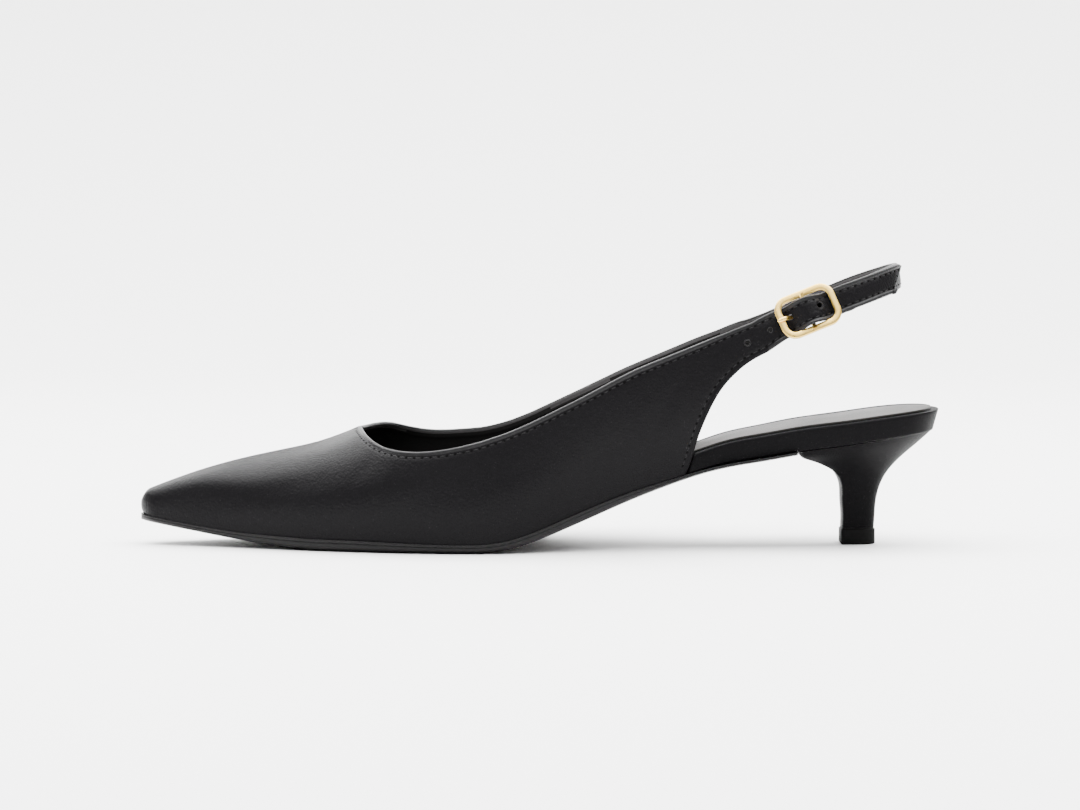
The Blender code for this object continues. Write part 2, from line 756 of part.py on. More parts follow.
class Route:
    """The straps' way round the heel: the inner face's middle line, with its frame at each place."""

    def __init__(self):
        ends = []
        self.leans = []
        for side in (1, -1):
            top, bottom = [last_point(*end, side) for end in strap_root(side)]
            middle = (top + bottom) / 2
            self.leans.append(math.atan2(abs(bottom[1]) - abs(top[1]), ROOT_WIDTH))
            ends.append(middle - np.array([0, side * WALL, 0]))
        inner, outer = ends
        centre = (inner[1] + outer[1]) / 2
        half = (inner[1] - outer[1]) / 2
        points = [inner]
        for back, across, up in ROUTE:
            points.append((inner[0] + back * LOOP_DEPTH, centre + across * half, inner[2] + up * LOOP_RISE))
        points.append(outer)
        points = np.array(points)
        steps = np.linalg.norm(np.diff(points, axis=0), axis=1)
        along = np.concatenate([[0], np.cumsum(steps)])
        coarse = [natural_spline(along, points[:, i]) for i in range(3)]
        fine = np.linspace(0, along[-1], 400)
        dense = np.stack([curve(fine) for curve in coarse], -1)
        steps = np.linalg.norm(np.diff(dense, axis=0), axis=1)
        self.arc = np.concatenate([[0], np.cumsum(steps)])
        self.dense = dense
        self.length = float(self.arc[-1])
        self.bar = self.length - BAR_FROM_ROOT

    def middle(self, arc):
        return np.array([np.interp(arc, self.arc, self.dense[:, i]) for i in range(3)])

    def frame(self, arc):
        """(point, outwards, upwards) at an arc length from the inner root."""
        step = 0.0012
        low, high = max(arc - step, 0), min(arc + step, self.length)
        along = self.middle(high) - self.middle(low)
        along /= np.linalg.norm(along)
        out = np.cross((0, 0, 1), along)
        out /= np.linalg.norm(out)
        up = np.cross(along, out)
        share = arc / self.length
        lean = self.leans[0] * (1 - share) + self.leans[1] * share + BUCKLE_LEAN * float(lean_share(share))
        up, out = up * math.cos(lean) - out * math.sin(lean), out * math.cos(lean) + up * math.sin(lean)
        return self.middle(arc), out, up

    def place(self, behind, over, across):
        """The point a distance behind the buckle's bar, over the route and across the strap."""
        point, out, up = self.frame(self.bar - behind)
        return point + out * over + up * across


route = Route()
(taper_share,) = columns(STRAP_TAPER)


def outer_width(behind):
    return STRAP_WIDTH * taper_share(behind / BUCKLE_LENGTH)


def sling_width(behind):
    """The sling strap flares towards its root."""
    near = np.clip(1 - (route.bar - behind) / FLARE_LENGTH, 0, 1)
    return STRAP_WIDTH + (ROOT_WIDTH - STRAP_WIDTH) * near**2


def ribbon(centres, thick, width, name, collection, slant=0.0):
    """A strap along centres, rows of (behind, over), with its thickness and width at each."""
    centres = np.array(centres)
    tangent = np.gradient(centres, axis=0)
    tangent /= np.linalg.norm(tangent, axis=1)[:, None]
    normal = np.column_stack([-tangent[:, 1], tangent[:, 0]])
    rings = []
    for i, (centre, across_to, wide) in enumerate(zip(centres, normal, thick)):
        half = float(width(centre[0])) / 2
        ring = []
        cut = slant if i == len(centres) - 1 else 0.0
        for turn, across in ((-1, -half), (-1, half), (1, half), (1, -half)):
            behind, over = centre + turn * across_to * wide / 2
            ring.append(route.place(behind + cut * across / half, over, across))
        rings.append(ring)
    return loft(rings, name, collection, "leather")


def sampled(table, step):
    """Points of a smooth curve through a table of shares behind the bar and over the route."""
    rows = np.array(table) * (BUCKLE_LENGTH, BAR_LIFT)
    curve = natural_spline(rows[:, 0], rows[:, 1])
    count = max(2, round((rows[-1, 0] - rows[0, 0]) / step))
    places = np.linspace(rows[0, 0], rows[-1, 0], count)
    return [(place, float(curve(place))) for place in places]


def build_sling_strap(collection, cutters):
    """From the inner root round the heel, round the buckle's bar and folded back inside."""
    start = route.bar - FIT_GAP
    flat = SLING_RISE[0][0] * BUCKLE_LENGTH
    plain = [(behind, STRAP_THICKNESS / 2) for behind in np.linspace(start, flat + 0.004, 44)]
    rise = sampled(SLING_RISE[::-1], 0.0011)[::-1]
    turn = BAR_RADIUS + WRAP_GAP + SKIVED / 2
    wrap = []
    for angle in np.linspace(math.radians(62), math.radians(298), 11):
        wrap.append((turn * math.cos(angle), BAR_LIFT + turn * math.sin(angle)))
    fold = sampled(SLING_FOLD, 0.0011) + [(FOLD_LENGTH, -WRAP_GAP - SKIVED / 2)]
    centres = plain + rise + wrap + fold
    thick = [STRAP_THICKNESS] * len(plain) + [SKIVED] * (len(centres) - len(plain))
    made = ribbon(centres, thick, sling_width, "sling_strap", collection)
    width = PRONG_WIDTH + 4 * WRAP_GAP
    add_boolean(made, box_cutter("sling_slot", SLING_SLOT, width, SLING_SLOT_DEPTH, cutters))
    return made


def build_buckle_strap(collection, cutters):
    """From the outer root under the frame, over the bar and on to the free tail."""
    start = -(BAR_FROM_ROOT - FIT_GAP)
    centres = [(start, WALL / 2)] + sampled(TAIL_RISE, 0.0011)
    last_behind, last_over = centres[-1]
    for behind in np.linspace(last_behind, TAIL_REACH, 16)[1:]:
        share = (behind - last_behind) / (TAIL_REACH - last_behind)
        centres.append((behind, last_over + TAIL_LIFT * share**2))
    skive = natural_spline(
        (start, -0.4 * BUCKLE_LENGTH, 0.0, 0.4 * BUCKLE_LENGTH, 0.8 * BUCKLE_LENGTH, TAIL_REACH),
        (WALL, 1.2 * SKIVED, SKIVED, SKIVED, 1.3 * SKIVED, 1.3 * SKIVED),
    )
    thick = [float(skive(behind)) for behind, over in centres]
    made = ribbon(centres, thick, outer_width, "buckle_strap", collection, slant=TAIL_SLANT)
    for number in (1, -1):
        hole = hole_cutter(f"strap_hole_{2 - number}", number, HOLE_WIDTH, cutters)
        add_boolean(made, hole, solver="MANIFOLD")
    width = PRONG_WIDTH + 2 * WRAP_GAP
    slot = box_cutter("prong_slot", STRAP_SLOT, width, STRAP_SLOT_DEPTH, cutters)
    add_boolean(made, slot, solver="MANIFOLD")
    return made


def buckle_frame_matrix():
    """The buckle's own frame: origin on its bar, X towards the tail, Y across the strap, Z outwards."""
    reach = 0.4 * BUCKLE_LENGTH
    point, out, up = route.frame(route.bar)
    along = route.place(reach, 0, 0) - route.place(-reach, 0, 0)
    y_axis = Vector(up).normalized()
    x_axis = Vector(along)
    x_axis = (x_axis - x_axis.dot(y_axis) * y_axis).normalized()
    z_axis = x_axis.cross(y_axis)
    if z_axis.dot(Vector(out)) < 0:
        z_axis = -z_axis
    made = Matrix((x_axis, y_axis, z_axis)).transposed().to_4x4()
    made.translation = Vector(route.place(0, BAR_LIFT, BUCKLE_SHIFT))
    return made


def as_cutter(made, cutters):
    made.hide_render = True
    made.display_type = "WIRE"
    cutters.objects.link(made)


def box_cutter(name, along, width, out, cutters):
    """A box in the buckle's frame."""
    bm = bmesh.new()
    bmesh.ops.create_cube(bm, size=1)
    size = Matrix.Diagonal((along[1] - along[0], width, out[1] - out[0], 1))
    centre = Matrix.Translation(((along[0] + along[1]) / 2, -BUCKLE_SHIFT, (out[0] + out[1]) / 2))
    bmesh.ops.transform(bm, matrix=buckle_frame_matrix() @ centre @ size, verts=bm.verts)
    bmesh.ops.recalc_face_normals(bm, faces=bm.faces)
    mesh = bpy.data.meshes.new(name)
    bm.to_mesh(mesh)
    bm.free()
    made = bpy.data.objects.new(name, mesh)
    as_cutter(made, cutters)
    return made


def hole_cutter(name, number, width, cutters):
    """A round punch through the outer strap, a number of pitches in front of the prong's hole."""
    behind = PRONG_HOLE - number * HOLE_PITCH
    point, out, up = route.frame(min(route.bar - behind, route.length))
    if behind < -BAR_FROM_ROOT:
        along = (point - route.middle(route.length - 0.002)) / 0.002
        point = point + along * (-behind - BAR_FROM_ROOT)
    bm = bmesh.new()
    bmesh.ops.create_cone(
        bm, cap_ends=True, segments=16, radius1=width / 2, radius2=width / 2, depth=0.016
    )
    turn = Vector(out).to_track_quat("Z", "Y").to_matrix().to_4x4()
    turn.translation = Vector(point)
    bmesh.ops.transform(bm, matrix=turn, verts=bm.verts)
    mesh = bpy.data.meshes.new(name)
    bm.to_mesh(mesh)
    bm.free()
    made = bpy.data.objects.new(name, mesh)
    as_cutter(made, cutters)
    return made


def rounded_loop(length, width, corner, steps=6):
    """Points round a rectangle with round corners, with each point's outward direction."""
    loop = []
    for quarter, (sx, sy) in enumerate(((1, 1), (-1, 1), (-1, -1), (1, -1))):
        for angle in np.linspace(0, math.pi / 2, steps) + quarter * math.pi / 2:
            direction = Vector((math.cos(angle), math.sin(angle), 0))
            centre = Vector((sx * (length / 2 - corner), sy * (width / 2 - corner), 0))
            loop.append((centre + corner * direction, direction))
    return loop


def build_buckle_frame(collection, cutters):
    to_world = buckle_frame_matrix()
    half_wide, half_high = WIRE_WIDTH / 2, WIRE_HEIGHT / 2
    rings = []
    loop = rounded_loop(
        BUCKLE_LENGTH - WIRE_WIDTH, BUCKLE_WIDTH - WIRE_WIDTH, BUCKLE_CORNER - half_wide
    )
    for centre, outward in loop:
        ring = []
        for angle in np.linspace(0, 2 * math.pi, 10, endpoint=False) + math.pi / 10:
            across = half_wide * math.copysign(abs(math.cos(angle)) ** 0.7, math.cos(angle))
            height = half_high * math.copysign(abs(math.sin(angle)) ** 0.7, math.sin(angle))
            ring.append(to_world @ (centre + outward * across + Vector((0, 0, height))))
        rings.append(ring)
    made = loft(rings, "buckle_frame", collection, "pale_gold", closed=True)
    bm = bmesh.new()
    depth = BUCKLE_WIDTH - WIRE_WIDTH
    bmesh.ops.create_cone(
        bm, cap_ends=True, segments=12, radius1=BAR_RADIUS, radius2=BAR_RADIUS, depth=depth
    )
    bmesh.ops.transform(bm, matrix=to_world @ Matrix.Rotation(math.pi / 2, 4, "X"), verts=bm.verts)
    mesh = bpy.data.meshes.new("bar")
    bm.to_mesh(mesh)
    bm.free()
    bar = bpy.data.objects.new("bar", mesh)
    as_cutter(bar, cutters)
    add_boolean(made, bar, "UNION")
    return made


def build_buckle_prong(collection, cutters):
    """An eye round the bar, and a flat finger that lies on the frame's front side."""
    to_world = buckle_frame_matrix() @ Matrix.Translation((0, -BUCKLE_SHIFT, 0))
    inner = BAR_RADIUS + 2 * WRAP_GAP / 3
    outer = inner + 0.7 * PRONG_HEIGHT
    rings = []
    for angle in np.linspace(0, 2 * math.pi, 16, endpoint=False):
        ring = []
        for radius, across in ((inner, -1), (outer, -1), (outer, 1), (inner, 1)):
            place = (radius * math.cos(angle), across * PRONG_WIDTH / 2, radius * math.sin(angle))
            ring.append(to_world @ Vector(place))
        rings.append(ring)
    made = loft(rings, "buckle_prong", collection, "pale_gold", closed=True)
    rest = WIRE_HEIGHT / 2 + WRAP_GAP
    front = -BUCKLE_LENGTH / 2
    middles = (
        (-inner - 0.45 * (outer - inner), -0.0001, 0.62),
        (-0.0030, 0.0003, 0.9),
        (front + WIRE_WIDTH + 0.0008, rest + PRONG_HEIGHT / 2 - 0.0001, 1.0),
        (front + WIRE_WIDTH / 2, rest + PRONG_HEIGHT / 2, 1.0),
        (front - PRONG_OVERHANG, rest + PRONG_HEIGHT / 2 - 0.0002, 0.55),
    )
    rings = []
    for along, height, share in middles:
        wide = PRONG_WIDTH / 2 * min(1.0, share + 0.25)
        high = PRONG_HEIGHT / 2 * share
        ring = []
        for across, level in ((-1, -1), (1, -1), (1, 0.3), (0.6, 1), (-0.6, 1), (-1, 0.3)):
            ring.append(to_world @ Vector((along, across * wide, height + level * high)))
        rings.append(ring)
    finger = loft(rings, "finger", collection, "pale_gold")
    collection.objects.unlink(finger)
    as_cutter(finger, cutters)
    add_boolean(made, finger, "UNION")
    return made


def main():
    for old in list(bpy.data.objects):
        bpy.data.objects.remove(old)
    shoe = bpy.data.collections.new("slingback_pump")
    cutters = bpy.data.collections.new("cutters")
    for made in (shoe, cutters):
        bpy.context.scene.collection.children.link(made)
    build_outsole(shoe)
    build_insole(shoe)
    build_sock(shoe)
    build_heel(shoe)
    build_heel_tip(shoe)
    build_upper(shoe, cutters)
    build_sling_strap(shoe, cutters)
    build_buckle_strap(shoe, cutters)
    build_buckle_frame(shoe, cutters)
    build_buckle_prong(shoe, cutters)


main()
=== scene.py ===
# %% [markdown]
# # A slingback pump, dressed
#
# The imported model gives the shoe's parts as plain solids. This lesson dresses them: the same last and
# the same straps are worked out again at a finer pitch, so that the leather gets rolled edges, stitched
# rows, soft creases and a grain, and the sole, heel and buckle get their real profiles. Everything is
# in metres, in the model's own frame: the toe points along -X, the outer side of the foot is at -Y, and
# the origin is under the heel tip.

# %% The frame and the tools
import math

import bmesh
import bpy
import numpy as np
from mathutils import Matrix, Vector


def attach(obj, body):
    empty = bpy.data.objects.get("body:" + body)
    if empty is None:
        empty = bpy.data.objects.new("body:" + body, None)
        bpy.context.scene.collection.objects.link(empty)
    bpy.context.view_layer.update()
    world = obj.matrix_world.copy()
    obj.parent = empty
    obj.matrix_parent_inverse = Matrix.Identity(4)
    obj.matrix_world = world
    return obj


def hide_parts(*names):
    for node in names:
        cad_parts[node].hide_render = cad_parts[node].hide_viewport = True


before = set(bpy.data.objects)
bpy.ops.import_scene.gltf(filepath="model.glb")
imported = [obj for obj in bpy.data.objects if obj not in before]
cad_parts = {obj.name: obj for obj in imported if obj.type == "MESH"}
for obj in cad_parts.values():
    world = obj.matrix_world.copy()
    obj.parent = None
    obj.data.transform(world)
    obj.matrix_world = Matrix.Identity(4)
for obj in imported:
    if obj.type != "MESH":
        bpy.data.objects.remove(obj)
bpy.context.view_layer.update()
print("nodes", sorted(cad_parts))

# %% [markdown]
# ## Smooth curves
#
# A shoe is made on a last, so the leather's shape is the last's surface plus small things done to it.
# The tables of this lesson give the last as shares of a few named sizes, with a row for each place
# along it. A Bezier curve could join the rows by eye. A natural spline meets each row exactly and can
# be asked for any place between them, which is why the same last can be sampled finely here.

# %% Smooth curves through the rows of a table
TINY = 1e-12


def natural_spline(places, values):
    """A smooth function through the values given at the places."""
    xs = np.asarray(places, float)
    ys = np.asarray(values, float)
    count = len(xs)
    gap = np.diff(xs)
    system = np.eye(count)
    right = np.zeros(count)
    for i in range(1, count - 1):
        system[i, i - 1 : i + 2] = gap[i - 1], 2 * (gap[i - 1] + gap[i]), gap[i]
        right[i] = 6 * ((ys[i + 1] - ys[i]) / gap[i] - (ys[i] - ys[i - 1]) / gap[i - 1])
    bend = np.linalg.solve(system, right)

    def value(x):
        x = np.clip(np.asarray(x, float), xs[0], xs[-1])
        i = np.clip(np.searchsorted(xs, x) - 1, 0, count - 2)
        left = x - xs[i]
        rest = xs[i + 1] - x
        cubic = (bend[i] * rest**3 + bend[i + 1] * left**3) / (6 * gap[i])
        straight = (ys[i] * rest + ys[i + 1] * left) / gap[i]
        return cubic + straight - gap[i] / 6 * (bend[i] * rest + bend[i + 1] * left)

    return value


def columns(table):
    """One smooth function of the first column for each further column of a table."""
    rows = np.array(table)
    return [natural_spline(rows[:, 0], rows[:, i]) for i in range(1, rows.shape[1])]


def lengths_along(points):
    """How far along a line each of its points lies."""
    steps = np.linalg.norm(np.diff(points, axis=0), axis=1)
    return np.concatenate([[0], np.cumsum(steps)])


print("a spline meets its rows:", float(natural_spline((0, 1, 2), (0, 1, 4))(1)))

# %% [markdown]
# ## The last from above
#
# Seen from above, a last is the foot's outline drawn out to a point. It could be one closed curve. Two
# half widths for each place, one to each side of the middle line, also serve the sole, the insole and
# the sock, and keep the left foot's bend. A factor rounds the toe's tip and the seat, which a curve of
# half widths can't turn by itself.

# %% The outline from above
LENGTH = 0.2644
HALF_BALL = 0.0376
TOE_ROUND = 0.005
SEAT_ROUND = 0.0244
SEAT_ROUND_POWER = 2.4

# Each station's distance from the toe as a share of LENGTH, then the shares of HALF_BALL to each side
PLAN = (
    # at, outer, inner
    (0.000, 0.146, 0.146),
    (0.076, 0.335, 0.335),
    (0.151, 0.548, 0.537),
    (0.227, 0.758, 0.755),
    (0.303, 0.920, 0.965),
    (0.348, 0.985, 1.045),
    (0.393, 1.028, 1.070),
    (0.454, 1.015, 0.970),
    (0.492, 0.960, 0.800),
    (0.535, 0.875, 0.555),
    (0.580, 0.785, 0.405),
    (0.624, 0.705, 0.340),
    (0.662, 0.660, 0.330),
    (0.719, 0.645, 0.410),
    (0.775, 0.670, 0.525),
    (0.832, 0.705, 0.618),
    (0.908, 0.720, 0.672),
    (1.000, 0.720, 0.678),
)

plan_outer, plan_inner = columns(PLAN)


def toe_factor(x, inset=0.0):
    """Rounds the toe's tip in plan, for the outline or for one a little inside it."""
    share = np.clip((TOE_ROUND - x) / (TOE_ROUND - inset), 0, 1)
    return np.sqrt(1 - share**2)


def seat_factor(x, inset=0.0):
    """Rounds the seat behind the heel in plan, for the outline or for one a little inside it."""
    share = np.clip((x - LENGTH + SEAT_ROUND) / (SEAT_ROUND - inset), 0, 1)
    return (1 - share**SEAT_ROUND_POWER) ** (1 / SEAT_ROUND_POWER)


def half_width(x, side, inset=0.0):
    """How far the outline reaches to a side, or one a little inside it."""
    share = plan_outer(x / LENGTH) if side < 0 else plan_inner(x / LENGTH)
    return (HALF_BALL * share - inset) * toe_factor(x, inset) * seat_factor(x, inset)


print("width at the ball", round(float(half_width(0.4 * LENGTH, -1) + half_width(0.4 * LENGTH, 1)), 4))

# %% [markdown]
# ## The line of the sole from the side
#
# From the side the sole lifts a little at the toe, lies flat under the ball and climbs to the seat. Its
# underside and its thickness are two curves over the same places, and their sum is the line on which
# the upper, the insole and the heel sit. Pieces that share one line can't drift apart.

# %% The sole's underside and top
HEEL_RISE = 0.0376
TOE_SPRING = 0.0082
TOE_SPRING_END = 0.2269 * LENGTH
TOE_SPRING_POWER = 1.43
WELT_THICKNESS = 0.004

# The sole's thickness as a share of WELT_THICKNESS
THICKNESS = (
    # at, thick
    (0.000, 0.53),
    (0.076, 0.62),
    (0.129, 0.74),
    (0.182, 0.96),
    (0.227, 1.04),
    (0.284, 1.00),
    (0.340, 0.88),
    (0.397, 0.80),
    (0.454, 0.83),
    (0.511, 0.93),
    (0.567, 0.94),
    (0.605, 0.83),
    (0.643, 0.64),
    (0.681, 0.48),
    (0.738, 0.38),
    (0.817, 0.33),
    (1.000, 0.33),
)

# The height of the sole's underside behind the tread as a share of HEEL_RISE
ARCH = (
    # at, rise
    (0.427, 0.000),
    (0.454, 0.019),
    (0.484, 0.070),
    (0.518, 0.157),
    (0.552, 0.254),
    (0.586, 0.355),
    (0.624, 0.463),
    (0.662, 0.562),
    (0.700, 0.652),
    (0.738, 0.718),
    (0.783, 0.774),
    (0.817, 0.819),
    (0.877, 0.878),
    (0.934, 0.939),
    (1.000, 1.000),
)

(sole_share,) = columns(THICKNESS)
(arch_share,) = columns(ARCH)


def sole_bottom(x):
    """The height of the sole's underside."""
    spring = TOE_SPRING * np.clip(1 - x / TOE_SPRING_END, 0, 1) ** TOE_SPRING_POWER
    return np.maximum(spring, HEEL_RISE * np.maximum(arch_share(x / LENGTH), 0))


def seat_line(x):
    """The height at which the upper, the insole and the heel meet the sole's top."""
    return sole_bottom(x) + WELT_THICKNESS * sole_share(x / LENGTH)


print("height under the seat", round(float(sole_bottom(LENGTH)), 4))

# %% [markdown]
# ## The last's sections
#
# Cut across, the last is a soft arch. It could be sculpted. Here each section has five points, the
# first on the sole's edge, and fixed weights blend them, so that a share from 0 to 1 leads up the
# section anywhere on the shoe.

# %% The last's surface
INSTEP = 0.060
TOE_DROP = 0.32
HEEL_CENTRE = 0.9002 * LENGTH
SECTION_SAMPLES = 401

# Four points up each section of the last above the sole's edge: out as a share of HALF_BALL, up as a
# share of INSTEP. Behind the throat the fourth point only steers the wall, which the topline cuts lower
# down.
OUTER_SECTIONS = (
    # at, out1, up1, out2, up2, out3, up3, out4, up4
    (0.000, 0.157, 0.035, 0.149, 0.075, 0.106, 0.105, 0.000, 0.117),
    (0.038, 0.258, 0.065, 0.250, 0.135, 0.176, 0.188, 0.000, 0.210),
    (0.076, 0.360, 0.091, 0.346, 0.191, 0.255, 0.259, 0.000, 0.294),
    (0.132, 0.532, 0.117, 0.503, 0.238, 0.351, 0.328, 0.000, 0.390),
    (0.189, 0.713, 0.140, 0.665, 0.282, 0.452, 0.390, 0.000, 0.457),
    (0.276, 0.941, 0.167, 0.872, 0.358, 0.572, 0.517, 0.000, 0.588),
    (0.359, 1.078, 0.202, 1.035, 0.427, 0.798, 0.643, 0.213, 0.777),
    (0.454, 1.080, 0.234, 1.035, 0.484, 0.904, 0.734, 0.532, 0.934),
    (0.548, 0.963, 0.238, 0.989, 0.488, 0.918, 0.754, 0.718, 1.004),
    (0.624, 0.878, 0.228, 0.926, 0.495, 0.878, 0.795, 0.745, 1.062),
    (0.700, 0.846, 0.228, 0.894, 0.495, 0.846, 0.762, 0.745, 1.028),
    (0.794, 0.864, 0.217, 0.950, 0.467, 0.950, 0.717, 0.890, 0.983),
)

INNER_SECTIONS = (
    # at, out1, up1, out2, up2, out3, up3, out4, up4
    (0.000, 0.157, 0.035, 0.149, 0.075, 0.106, 0.105, 0.000, 0.117),
    (0.038, 0.258, 0.065, 0.250, 0.135, 0.176, 0.188, 0.000, 0.210),
    (0.076, 0.359, 0.091, 0.346, 0.191, 0.255, 0.259, 0.000, 0.294),
    (0.132, 0.519, 0.117, 0.495, 0.242, 0.351, 0.332, 0.000, 0.390),
    (0.189, 0.699, 0.140, 0.660, 0.287, 0.452, 0.393, 0.000, 0.457),
    (0.276, 0.950, 0.175, 0.883, 0.370, 0.585, 0.523, 0.000, 0.588),
    (0.359, 1.122, 0.218, 1.074, 0.460, 0.838, 0.677, 0.213, 0.810),
    (0.454, 1.118, 0.251, 1.085, 0.501, 0.957, 0.767, 0.585, 0.967),
    (0.548, 0.905, 0.238, 1.010, 0.488, 0.973, 0.738, 0.771, 1.004),
    (0.624, 0.745, 0.212, 0.925, 0.462, 0.915, 0.745, 0.771, 1.045),
    (0.700, 0.715, 0.220, 0.845, 0.478, 0.835, 0.745, 0.745, 1.012),
    (0.794, 0.720, 0.233, 0.755, 0.483, 0.738, 0.733, 0.660, 0.983),
)

KNOTS = np.linspace(0, 1, 5)
blend = [natural_spline(KNOTS, row) for row in np.eye(5)]
sections = {-1: columns(OUTER_SECTIONS), 1: columns(INNER_SECTIONS)}


def last_point(x, up, side):
    """The last's surface at x from the toe, a share up its section, on the outer (-1) or inner side."""
    x, up = np.broadcast_arrays(np.asarray(x, float), np.asarray(up, float))
    round_off = toe_factor(x)
    low = 1 - TOE_DROP * (1 - round_off) ** 2
    values = [column(x / LENGTH) for column in sections[side]]
    outs = [half_width(x, side)] + [HALF_BALL * v * round_off for v in values[0::2]]
    ups = [np.zeros_like(x)] + [INSTEP * v * low for v in values[1::2]]
    weights = [function(up) for function in blend]
    out = sum(w * o for w, o in zip(weights, outs))
    height = sum(w * u for w, u in zip(weights, ups))
    return np.stack([x - HEEL_CENTRE, side * out, seat_line(x) + height], -1)


def up_at_height(x, height, side):
    """The share up the section at which the last reaches a height."""
    shares = np.linspace(0, 1, SECTION_SAMPLES)
    heights = last_point(np.full(SECTION_SAMPLES, x), shares, side)[:, 2]
    return float(np.interp(height, heights, shares))


print("middle of the throat", last_point(0.275 * LENGTH, 1.0, -1).round(4))

# %% [markdown]
# ## The edges of the leather
#
# The topline runs from the throat to the strap on each side, and the quarter's rear edge from the sole
# to the strap. A Boolean cut would leave ragged faces along them. Here the edges are curves on the last
# itself, as (place, share up the section), and the skin is built between them.

# %% Toplines, rear edge and strap roots
ROOT_WIDTH = 0.0105
ROOT_TOP = 0.7583 * LENGTH
ROOT_SLOPE = math.radians(22.5)
ROOT_TILT = math.radians(27.9)

# The topline from the middle of the throat to the strap: place along the shoe, share of the way up
# there
OUTER_TOPLINE = (
    # at, up
    (0.2750, 1.000),
    (0.2790, 0.915),
    (0.2845, 0.825),
    (0.2960, 0.716),
    (0.3175, 0.628),
    (0.3489, 0.580),
    (0.386, 0.564),
    (0.414, 0.568),
    (0.441, 0.580),
    (0.489, 0.600),
    (0.529, 0.614),
    (0.570, 0.622),
    (0.610, 0.632),
    (0.650, 0.648),
    (0.691, 0.679),
    (0.731, 0.729),
)

INNER_TOPLINE = (
    # at, up
    (0.275, 1.000),
    (0.279, 0.935),
    (0.292, 0.840),
    (0.308, 0.750),
    (0.334, 0.634),
    (0.363, 0.571),
    (0.393, 0.550),
    (0.422, 0.546),
    (0.461, 0.557),
    (0.488, 0.568),
    (0.531, 0.591),
    (0.574, 0.618),
    (0.616, 0.643),
    (0.659, 0.661),
    (0.702, 0.682),
    (0.737, 0.710),
)

# The quarter's rear edge from the sole to the strap
REAR_EDGE = (
    # at, up
    (0.680, 0.000),
    (0.685, 0.069),
    (0.690, 0.150),
    (0.695, 0.225),
    (0.701, 0.292),
    (0.708, 0.354),
    (0.721, 0.440),
    (0.738, 0.510),
    (0.755, 0.564),
)

TOPLINES = {-1: OUTER_TOPLINE, 1: INNER_TOPLINE}


def strap_root(side):
    """The two ends, top and bottom, of the line where the quarter becomes the strap, as (x, up)."""
    table = TOPLINES[side]
    slope = natural_spline(*np.array(table[-4:]).T)
    before = last_point(table[-1][0] * LENGTH, slope(table[-1][0]), side)
    run = ROOT_TOP - table[-1][0] * LENGTH
    top_height = before[2] + run * math.tan(ROOT_SLOPE)
    bottom = ROOT_TOP + ROOT_WIDTH * math.sin(ROOT_TILT)
    bottom_height = top_height - ROOT_WIDTH * math.cos(ROOT_TILT)
    return (
        (ROOT_TOP, up_at_height(ROOT_TOP, top_height, side)),
        (bottom, up_at_height(bottom, bottom_height, side)),
    )


def edge_curve(table, end):
    """A smooth curve in (x, up) through a table's rows and a last point, as a function of 0 to 1."""
    rows = [(at * LENGTH, up) for at, up in table] + [end]
    rows = np.array(rows)
    steps = np.hypot(np.diff(rows[:, 0]) / INSTEP, np.diff(rows[:, 1]))
    along = np.concatenate([[0], np.cumsum(steps)]) / steps.sum()
    return along, natural_spline(along, rows[:, 0]), natural_spline(along, rows[:, 1])


print("roots of the straps", [tuple(round(float(v), 3) for v in end) for end in strap_root(-1)])

# %% [markdown]
# ## The straps' way round the heel
#
# Both straps lie on one way: a loop that leaves the inner quarter, passes behind the heel and comes
# back to the outer quarter. A Bezier path with a Curve modifier would bend a flat strap, but its twist
# is hard to hold. The way here gives a point, an outward and an upward direction at each length along
# it, so that each piece near the buckle can be placed from the bar.

# %% Sizes of the straps and of the buckle's bar
WALL = 0.0015
STRAP_WIDTH = 0.0081
STRAP_THICKNESS = 0.0016
SKIVED = 0.001
LOOP_DEPTH = 0.0467
LOOP_RISE = 0.0208
BUCKLE_LEAN = math.radians(11)
BUCKLE_LENGTH = 0.0200
BAR_RADIUS = 0.0007
BAR_LIFT = 0.0027
BAR_FROM_ROOT = 0.0176
WRAP_GAP = 0.00015
WAY_SAMPLES = 400
FRAME_STEP = 0.0012

# The straps' way from the inner root round the heel to the outer root: back as a share of LOOP_DEPTH,
# side as a share of half the distance between the roots, up as a share of LOOP_RISE
ROUTE = (
    # back, side, up
    (0.260, 0.915, 0.288),
    (0.524, 0.705, 0.560),
    (0.737, 0.510, 0.775),
    (0.894, 0.320, 0.910),
    (0.976, 0.140, 0.980),
    (1.000, -0.048, 1.000),
    (0.976, -0.281, 0.985),
    (0.902, -0.511, 0.930),
    (0.772, -0.730, 0.822),
    (0.605, -0.890, 0.680),
    (0.443, -0.977, 0.550),
    (0.320, -1.003, 0.450),
    (0.189, -1.007, 0.305),
    (0.090, -1.004, 0.195),
)

# How far the strap leans in towards the foot along its way, as a share of BUCKLE_LEAN
LEAN = (
    # way, lean
    (0.000, 0.000),
    (0.150, 0.150),
    (0.500, 0.400),
    (0.720, 0.800),
    (0.860, 1.000),
    (0.930, 0.700),
    (1.000, 0.000),
)

lean_share = natural_spline(*np.array(LEAN).T)
print("rows of the way", len(ROUTE))

